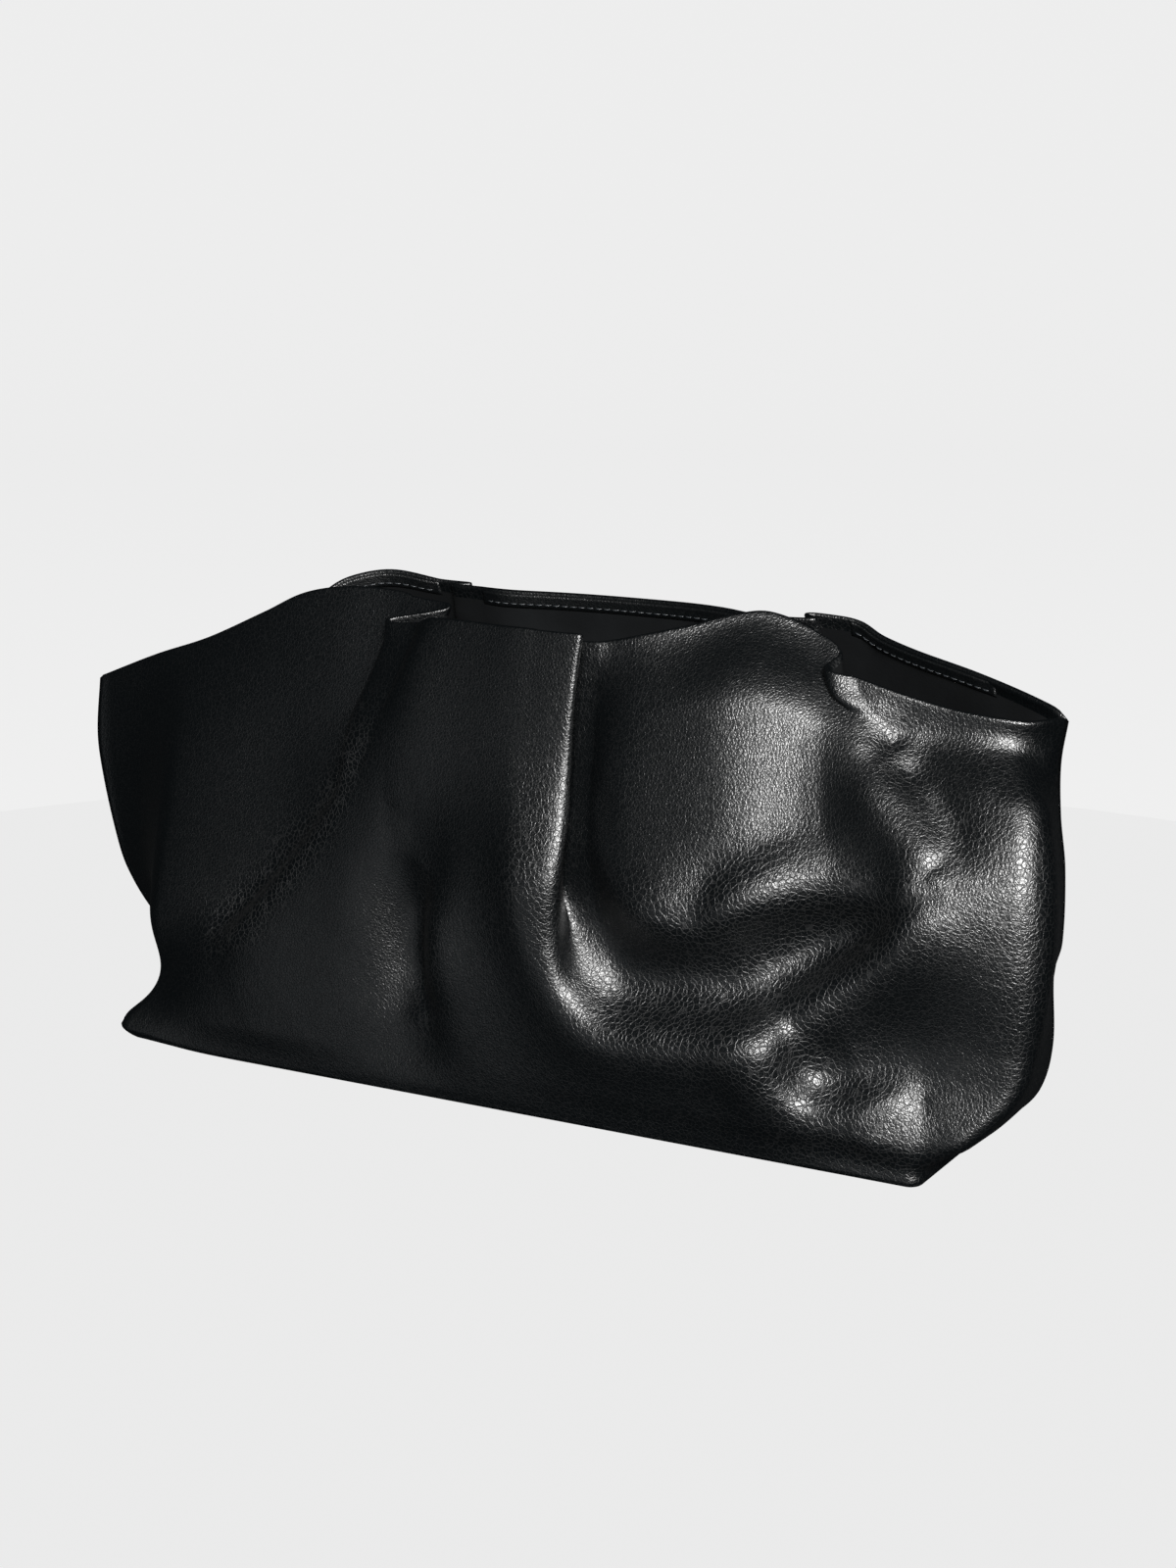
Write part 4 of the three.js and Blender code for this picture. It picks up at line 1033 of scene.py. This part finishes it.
    def surface_normals(self, places: np.ndarray) -> np.ndarray:
        """Unit normals of a grid of places, pointing out of the bag.

        Args:
            places: the grid of places, column by column.

        Returns:
            The normal at each place.
        """
        sideways = np.gradient(places, axis=0)
        upward = np.gradient(places, axis=1)
        return unit(np.cross(sideways, upward) * -self.side)

    def folds_height(self, places: np.ndarray) -> np.ndarray:
        """Height of all folds together, which die away at the bottom edge.

        Args:
            places: the grid of places, in millimetres.

        Returns:
            The height at each place, in millimetres.
        """
        x, z = places[..., 0], places[..., 2]
        total = np.zeros(x.shape)
        blur = ((0, 0, 0.36), (1, 0, 0.16), (-1, 0, 0.16), (0, 1, 0.16), (0, -1, 0.16))
        for step_x, step_z, weight in blur:
            near_x, near_z = x + step_x * self.softening, z + step_z * self.softening
            total += weight * sum(fold.height(near_x, near_z) for fold in self.folds)
        return total * smooth_step(SIZES.bottom_radius, 15.0, z)

    def leather(self, runs: np.ndarray, heights: np.ndarray) -> tuple[np.ndarray, np.ndarray]:
        """The middle of the leather with its folds and pleats.

        Args:
            runs: column places.
            heights: row heights.

        Returns:
            The places in millimetres, and the height of the folds at each.
        """
        run, height = np.meshgrid(runs, heights, indexing="ij")
        place = self.plain(run, height)
        normal = self.surface_normals(place)
        fade = smooth_step(0, 0.05, run) * smooth_step(0, 0.05, 1 - run) * (height > 0)
        folds = fade * self.folds_height(place)
        place = place + normal * folds[..., None]
        out_x, out_y = self.outward(run)
        wall = np.maximum(height, 0)
        for pleat in self.pleats:
            forward, out = pleat.shift(run, wall)
            place[..., 0] += out_x * out + self.side * out_y * forward
            place[..., 1] += out_y * out - self.side * out_x * forward
        return place, folds

    def behind_seam(self, places: np.ndarray, depth: np.ndarray | float) -> np.ndarray:
        """Keeps a skin on its own side of the side seams.

        Args:
            places: the skin's places, in millimetres.
            depth: how much further from the seam it stays.

        Returns:
            The places, moved where they crossed.
        """
        kept = places.copy()
        kept[..., 1] = self.side * np.maximum(self.side * kept[..., 1], SIZES.clearance / 2 + depth)
        return kept

    def crease_shares(self) -> np.ndarray:
        """How strongly the leather is crumpled at each place, from the bend of its folds.

        Returns:
            A share from 0 to 1 at each place.
        """
        bend = np.abs(np.gradient(np.gradient(self.fold_height, axis=0), axis=0))
        bend += np.abs(np.gradient(np.gradient(self.fold_height, axis=1), axis=1))
        for _ in range(self.crease_passes):
            bend[1:-1] = (bend[:-2] + 2 * bend[1:-1] + bend[2:]) / 4
            bend[:, 1:-1] = (bend[:, :-2] + 2 * bend[:, 1:-1] + bend[:, 2:]) / 4
        return np.clip(bend / max(np.percentile(bend, 97), 1e-9), 0, 1)

    def skins(self) -> tuple[np.ndarray, np.ndarray, np.ndarray]:
        """The outer skin, the rounded edge and the inner skin, each column by column.

        Returns:
            The places of each, in millimetres.
        """
        half = SIZES.leather / 2
        lap = SIZES.leather * np.maximum(self.side * self.normals[..., 1], 0)
        radius = self.cap_radius(self.runs)
        below = (self.heights[-1] - self.heights) * SIZES.bag_height
        swell = np.outer(2 * radius - SIZES.leather, 1 - smooth_step(0.8, 2.2, below))
        outer = self.behind_seam(self.middle + self.normals * half, lap)
        inner = self.behind_seam(self.middle - self.normals * (half + swell)[..., None], 0.0)
        up = unit(self.middle[:, -1] - self.middle[:, -3])
        centre = self.middle[:, -1] + self.normals[:, -1] * (half - radius)[:, None]
        turns = np.pi * np.arange(1, self.cap_steps) / self.cap_steps
        outward = self.normals[:, -1][:, None] * np.cos(turns)[None, :, None]
        edge = centre[:, None] + radius[:, None, None] * (outward + up[:, None] * np.sin(turns)[None, :, None])
        return outer, self.behind_seam(edge, 0.0), inner

    def build(self, finishes: Finishes, shift: np.ndarray) -> bpy.types.Object:
        """Builds the panel as one closed sheet.

        Args:
            finishes: the bag's finishes.
            shift: the way from the bag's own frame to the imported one.

        Returns:
            The panel's object.
        """
        outer, edge, inner = self.skins()
        columns = np.concatenate([outer, edge, inner[:, ::-1]], axis=1)
        around = columns.shape[1]
        rows = len(self.heights)
        body = grid_faces(len(self.runs), around, closed=True)
        if self.side > 0:
            body = body[:, ::-1]
        pairs = rows - 1 + self.cap_steps // 2
        ends = [end_faces(0, around, pairs, self.side > 0),
                end_faces(len(self.runs) - 1, around, pairs, self.side < 0)]
        faces = np.concatenate([body, *ends])
        row = np.concatenate([np.tile(np.arange(around), len(self.runs) - 1), np.zeros(2 * pairs, int)])
        slots = (row >= rows + self.cap_steps - 1 + 3).astype(int)
        piece = make_piece(f"{self.name}_leather", columns.reshape(-1, 3) + shift, faces, slots,
                           [finishes.leather, finishes.suede])
        crease = self.crease_shares()
        cap = np.zeros((len(self.runs), self.cap_steps - 1))
        values = np.concatenate([crease, cap, crease[:, ::-1]], axis=1)
        attribute = piece.data.attributes.new("crease", "FLOAT", "POINT")
        attribute.data.foreach_set("value", values.astype(np.float32).ravel())
        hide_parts(f"{self.name}_panel")
        return piece


@dataclass
class Hem:
    """The turned hem inside a panel's mouth: one strip for each stretch between two pleats."""

    panel: Panel
    stretches: tuple[str, ...]
    start: float = 0.07
    rows: int = 7
    columns_per_run: int = 420
    fewest_columns: int = 12
    overlap: float = 0.1

    def ends(self) -> list[tuple[float, float]]:
        """Where each stretch starts and ends along the panel.

        Returns:
            The start and end of each stretch, as shares of the panel's foot.
        """
        marks = [self.start]
        for pleat in self.panel.pleats:
            marks += [pleat.run - SIZES.pleat_band, pleat.run + SIZES.pleat_band]
        marks.append(1 - self.start)
        return list(zip(marks[::2], marks[1::2]))

    def strip(self, low: float, high: float) -> tuple[np.ndarray, np.ndarray, np.ndarray]:
        """The hem's outer and inner face and its normals, for one stretch.

        Args:
            low: where the stretch starts.
            high: where it ends.

        Returns:
            Both faces' places and the normals, column by column.
        """
        panel = self.panel
        runs = np.linspace(low, high, max(int((high - low) * self.columns_per_run), self.fewest_columns))
        span = SIZES.hem_height + SIZES.hem_drop
        foot = 1 - span / SIZES.bag_height
        heights = np.linspace(foot, 1 - SIZES.hem_drop / SIZES.bag_height, self.rows)
        step = 0.5 / SIZES.bag_height
        wide = np.concatenate([[foot - step], heights])
        middle, _ = panel.leather(runs, wide)
        normals = panel.surface_normals(middle)[:, 1:]
        middle = middle[:, 1:]
        rise = np.linspace(0, 1, self.rows)
        round_foot = np.sqrt(np.clip(rise / 0.12, 0.15, 1))
        ease = smooth_step(0, 0.02, runs - low) * smooth_step(0, 0.02, high - runs)
        thick = SIZES.hem_thickness * np.outer(0.35 + 0.65 * ease, round_foot)
        outer = middle - normals * (SIZES.leather / 2 - self.overlap)
        inner = middle - normals * (SIZES.leather / 2 + thick)[..., None]
        return panel.behind_seam(outer, 0.0), panel.behind_seam(inner, 0.0), normals

    def build(self, finishes: Finishes, shift: np.ndarray) -> list[bpy.types.Object]:
        """Builds every stretch of the hem with its row of stitches.

        Args:
            finishes: the bag's finishes.
            shift: the way from the bag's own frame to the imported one.

        Returns:
            The hem's objects.
        """
        pieces = []
        for name, (low, high) in zip(self.stretches, self.ends()):
            outer, inner, normals = self.strip(low, high)
            columns = np.concatenate([outer, inner[:, ::-1]], axis=1)
            faces = grid_faces(len(columns), 2 * self.rows, closed=True)
            if self.panel.side > 0:
                faces = faces[:, ::-1]
            ends = [end_faces(0, 2 * self.rows, self.rows - 1, self.panel.side > 0),
                    end_faces(len(columns) - 1, 2 * self.rows, self.rows - 1, self.panel.side < 0)]
            faces = np.concatenate([faces, *ends])
            node = f"{self.panel.name}_hem_{name}"
            piece = make_piece(f"{node}_strip", columns.reshape(-1, 3) + shift, faces, np.zeros(len(faces)),
                               [finishes.hem])
            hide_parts(node)
            pieces.append(piece)
            line = inner[:, 2] + 0.15 * (inner[:, 2] - outer[:, 2])
            stitches = StitchRow(f"{node}_stitches", line + shift, -normals[:, 2])
            pieces.append(stitches.build(finishes))
        return pieces


@dataclass
class StitchRow:
    """A row of short stitches along a line on the leather, in millimetres; normals point out of the leather."""

    name: str
    line: np.ndarray
    normals: np.ndarray
    length: float = 2.3
    gap: float = 0.9
    thread: float = 0.42
    rings: int = 6
    sides: int = 6

    def build(self, finishes: Finishes) -> bpy.types.Object:
        """Builds the stitches as small rounded threads, each dipping into the leather at its ends.

        Args:
            finishes: the bag's finishes.

        Returns:
            The row's object.
        """
        steps = np.linalg.norm(np.diff(self.line, axis=0), axis=1)
        travel = np.concatenate([[0], np.cumsum(steps)])
        count = int((travel[-1] - self.length) / (self.length + self.gap))
        rings, sides = self.rings, self.sides
        starts = travel[-1] / 2 + (np.arange(count) - count / 2) * (self.length + self.gap)
        at = starts[:, None] + np.linspace(0, self.length, rings)[None, :]
        centre = np.stack([np.interp(at, travel, self.line[:, k]) for k in range(3)], -1)
        out = unit(np.stack([np.interp(at, travel, self.normals[:, k]) for k in range(3)], -1))
        bow = np.sin(np.pi * np.linspace(0, 1, rings))
        centre = centre + out * (self.thread * (0.75 * bow - 0.45))[None, :, None]
        ahead = unit(np.gradient(centre, axis=1))
        across = unit(np.cross(ahead, out))
        lift = np.cross(across, ahead)
        turns = 2 * np.pi * np.arange(sides) / sides
        thick = self.thread / 2 * (0.45 + 0.55 * bow)
        ring = (across[:, :, None] * np.cos(turns)[None, None, :, None]
                + lift[:, :, None] * np.sin(turns)[None, None, :, None])
        points = centre[:, :, None] + ring * thick[None, :, None, None]
        one = grid_faces(rings, sides, closed=True)
        faces = (one[None] + np.arange(count)[:, None, None] * rings * sides).reshape(-1, 4)
        piece = make_piece(self.name, points.reshape(-1, 3), faces, np.zeros(len(faces)), [finishes.thread])
        return piece


@dataclass
class SideSeam:
    """The closed side seam at one end, along the front panel, with its allowance turned into the bag."""

    end: End
    front: Panel
    allowance: float = 6.0
    thickness: float = 2.0
    rows: int = 60
    pair: float = 0.002

    def build(self, finishes: Finishes, shift: np.ndarray) -> bpy.types.Object:
        """Builds the allowance as a flat strip that fills the seam from inside.

        Args:
            finishes: the bag's finishes.
            shift: the way from the bag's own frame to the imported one.

        Returns:
            The allowance's object.
        """
        left = self.end is End.LEFT
        first = self.front.row_heights(self.rows)
        heights = first[first >= -0.5]
        run = np.array([0.0, self.pair]) if left else np.array([1 - self.pair, 1.0])
        middle, _ = self.front.leather(run, heights)
        line = middle[self.end.value].copy()
        line[:, 1] = 0.0
        inward = np.array([1.0 if left else -1.0, 0.0, 0.0])
        depth = self.allowance * smooth_step(-0.5, 0.1, heights) + 1.0
        corners = [(0.15, -0.5), (0.5, -1.0), (1.0, -1.0), (1.0, 1.0), (0.5, 1.0), (0.15, 0.5)]
        columns = np.stack([
            line + inward * (share * depth)[:, None] + np.array([0.0, hand * self.thickness / 2, 0.0])
            for share, hand in corners], 1)
        faces = grid_faces(len(columns), len(corners), closed=True)
        if not left:
            faces = faces[:, ::-1]
        ends = [end_faces(0, len(corners), 2, False), end_faces(len(columns) - 1, len(corners), 2, True)]
        faces = np.concatenate([faces, *ends])
        name = f"{self.end.name.lower()}_seam_allowance"
        piece = make_piece(name, columns.reshape(-1, 3) + shift, faces, np.zeros(len(faces)), [finishes.suede])
        return piece


@dataclass(frozen=True)
class BasePanel:
    """The flat base between the panels' turned-in feet, with its stitched edge, in millimetres."""

    bevel: float = 0.5
    stitch_inset: float = 2.5
    stitch_level: float = 0.25
    foot: float = 0.05
    middle_ring: float = 12.0
    inner_ring: float = 37.0
    edge_corner: float = 1.2
    inner_corner: float = 0.4
    corner_points: int = 7

    def outline(self, inset: float, corner: float) -> np.ndarray:
        """A rounded rectangle inside the base's edge.

        Args:
            inset: how far inside the base's outline, in millimetres.
            corner: the radius of its corners, in millimetres.

        Returns:
            X and Y of its points, one row each.
        """
        half_x = SIZES.base_length / 2 - inset - corner
        half_y = SIZES.base_depth / 2 - inset - corner
        turns = np.linspace(0, np.pi / 2, self.corner_points)
        points = []
        for k, (sx, sy) in enumerate(((1, 1), (-1, 1), (-1, -1), (1, -1))):
            for turn in turns + k * np.pi / 2:
                points.append((sx * half_x + corner * math.cos(turn) + SIZES.lean,
                               sy * half_y + corner * math.sin(turn)))
        return np.array(points)

    def build(self, finishes: Finishes, shift: np.ndarray) -> list[bpy.types.Object]:
        """Builds the plate with softened edges and a row of stitches round it.

        Args:
            finishes: the bag's finishes.
            shift: the way from the bag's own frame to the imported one.

        Returns:
            The plate and its stitches.
        """
        inset = SIZES.base_turn
        top = SIZES.leather
        rings = []
        for extra, z in ((self.inner_ring, self.foot), (self.middle_ring, self.foot), (self.bevel, self.foot),
                         (0.0, self.bevel), (0.0, top - self.bevel), (self.bevel, top), (self.middle_ring, top),
                         (self.inner_ring, top)):
            plan = self.outline(inset + extra, self.edge_corner if extra <= self.bevel else self.inner_corner)
            rings.append(np.column_stack([plan, np.full(len(plan), z)]))
        columns = np.stack(rings, 1)
        columns = np.concatenate([columns, columns[:1]], 0)
        faces = grid_faces(len(columns), len(rings), closed=False)
        piece = make_piece("base_leather", columns.reshape(-1, 3) + shift, faces, np.zeros(len(faces)),
                           [finishes.base])
        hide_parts("base_panel")
        plan = self.outline(inset + self.stitch_inset, self.edge_corner)
        plan = np.concatenate([plan, plan[:1]], 0)
        line = np.column_stack([plan, np.full(len(plan), self.stitch_level)])
        down = np.tile([0.0, 0.0, -1.0], (len(line), 1))
        stitches = StitchRow("base_stitches", line + shift, down).build(finishes)
        return [piece, stitches]


@dataclass(frozen=True)
class SoftBox:
    """A square soft light: its place in metres, side, power and tint."""

    name: str
    place: tuple[float, float, float]
    side: float
    power: float
    colour: tuple[float, float, float] = (1.0, 1.0, 1.0)
    target: tuple[float, float, float] = (0.0, 0.0, 0.08)

    def build(self) -> None:
        """Hangs the light and turns it to the bag."""
        lamp = bpy.data.lights.new(self.name, "AREA")
        lamp.size = self.side
        lamp.energy = self.power
        lamp.color = self.colour
        stand = bpy.data.objects.new(self.name, lamp)
        stand.location = self.place
        way = Vector(self.target) - Vector(self.place)
        stand.rotation_euler = way.to_track_quat("-Z", "Y").to_euler()
        bpy.context.scene.collection.objects.link(stand)


@dataclass(frozen=True)
class Studio:
    """The pale floor, the soft lights and the camera; the camera's places are in millimetres."""

    floor_radius: float = 2.6
    sweep_radius: float = 1.2
    wall_height: float = 3.2
    floor_sides: int = 96
    pale: float = 0.84
    glow: float = 0.985
    sky: tuple[float, float, float] = (0.75, 0.88, 1.0)
    sky_strength: float = 0.012
    camera_place: tuple[float, float, float] = (449.2, -762.2, 290.8)
    camera_aim: tuple[float, float, float] = (17.9, 4.7, 102.9)
    lens: float = 60.39
    sensor: float = 36.0
    lights: tuple[SoftBox, ...] = (
        SoftBox("key_light", (1.194, -1.839, 1.061), 0.9, 205.0, (1.0, 0.995, 0.985)),
        SoftBox("table_bounce", (-0.72, -1.99, -0.52), 1.2, 2.6, (0.94, 0.97, 1.0)),
    )

    def floor(self) -> bpy.types.Object:
        """Builds a pale floor that sweeps up into a wall all round.

        Returns:
            The floor's object.
        """
        profile = [(0.0, 0.0), (0.5, 0.0), (1.5, 0.0), (self.floor_radius, 0.0)]
        for turn in np.linspace(0, np.pi / 2, 9)[1:]:
            profile.append((self.floor_radius + self.sweep_radius * math.sin(turn),
                            self.sweep_radius * (1 - math.cos(turn))))
        profile.append((self.floor_radius + self.sweep_radius, self.wall_height))
        sides = self.floor_sides
        mesh = bpy.data.meshes.new("studio_floor")
        points = [(r * math.cos(2 * math.pi * k / sides), r * math.sin(2 * math.pi * k / sides), z)
                  for r, z in profile[1:] for k in range(sides)]
        faces = [tuple(range(sides))]
        for ring in range(len(profile) - 2):
            for k in range(sides):
                a, b = ring * sides + k, ring * sides + (k + 1) % sides
                faces.append((a, b, b + sides, a + sides))
        mesh.from_pydata(points, [], faces)
        mesh.shade_smooth()
        floor = bpy.data.objects.new("studio_floor", mesh)
        bpy.context.scene.collection.objects.link(floor)
        floor.visible_glossy = False
        floor.visible_diffuse = False
        floor.visible_shadow = False
        return floor

    def floor_finish(self) -> bpy.types.Material:
        """A pale matt paint that keeps an even tone and takes a faint shadow.

        Returns:
            The floor's material.
        """
        nodes = Nodes("pale_floor")
        speckle = nodes.noise(90.0, 2.0).outputs["Fac"]
        pale = self.pale
        tone = nodes.blend(speckle, (0.04, 0.04, 0.04), (0.045, 0.045, 0.045))
        nodes.link(tone, nodes.shader.inputs["Base Color"])
        nodes.shader.inputs["Roughness"].default_value = 1.0
        nodes.shader.inputs["Specular IOR Level"].default_value = 0.0
        nodes.shader.inputs["Emission Color"].default_value = (pale, pale, pale, 1)
        nodes.shader.inputs["Emission Strength"].default_value = self.glow
        return nodes.material

    def camera(self, shift: np.ndarray) -> None:
        """Sets the camera at the photograph's viewing angle.

        Args:
            shift: the way from the bag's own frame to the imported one.
        """
        place = Vector((np.array(self.camera_place) + shift) * MM)
        aim = Vector((np.array(self.camera_aim) + shift) * MM)
        lens = bpy.data.cameras.new("camera")
        lens.lens = self.lens
        lens.sensor_width = self.sensor
        eye = bpy.data.objects.new("camera", lens)
        eye.location = place
        eye.rotation_euler = (aim - place).to_track_quat("-Z", "Y").to_euler()
        bpy.context.scene.collection.objects.link(eye)
        bpy.context.scene.camera = eye

    def build(self, shift: np.ndarray) -> None:
        """Builds the whole studio.

        Args:
            shift: the way from the bag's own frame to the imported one.
        """
        floor = self.floor()
        floor.data.materials.append(self.floor_finish())
        floor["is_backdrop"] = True
        for light in self.lights:
            light.build()
        self.camera(shift)
        scene = bpy.context.scene
        world = bpy.data.worlds.new("dim_room")
        world.use_nodes = True
        background = world.node_tree.nodes["Background"]
        background.inputs[0].default_value = (*self.sky, 1)
        background.inputs[1].default_value = self.sky_strength
        scene.world = world
        scene.view_settings.view_transform = "Standard"
        scene.view_settings.look = "None"


def report(pieces: list[bpy.types.Object]) -> None:
    """Logs each piece's name and number of faces.

    Args:
        pieces: the objects just built.
    """
    for piece in pieces:
        log.info("%s: %d faces", piece.name, len(piece.data.polygons))


def main() -> None:
    """Builds the bag's pieces in order, then the studio."""
    logging.basicConfig(level=logging.INFO, format="%(name)s %(message)s")
    finishes = Finishes.make()
    shift = frame_shift()
    front = Panel(Side.FRONT, mouth=37.0, belly=8.0, rim=FRONT_RIM, bulge=FRONT_BULGE, hollows=FRONT_HOLLOWS,
                  pleats=FRONT_PLEATS, folds=FRONT_FOLDS, columns=340, rows=128)
    back = Panel(Side.BACK, mouth=23.0, belly=7.0, rim=BACK_RIM, bulge=BACK_BULGE, hollows=BACK_HOLLOWS,
                 pleats=BACK_PLEATS, folds=BACK_FOLDS, columns=260, rows=90)
    report([front.build(finishes, shift), back.build(finishes, shift)])
    report(Hem(front, ("left", "middle", "right", "end")).build(finishes, shift))
    report(Hem(back, ("left", "middle", "right")).build(finishes, shift))
    report([SideSeam(end, front).build(finishes, shift) for end in End])
    report(BasePanel().build(finishes, shift))
    Studio().build(shift)
    boxes = {"cad": CAD_BOX, "visual": [tuple(corner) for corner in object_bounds()]}
    for name, box in boxes.items():
        log.info("%s box %s", name, [[round(v, 4) for v in corner] for corner in box])


if __name__ == "__main__":
    main()
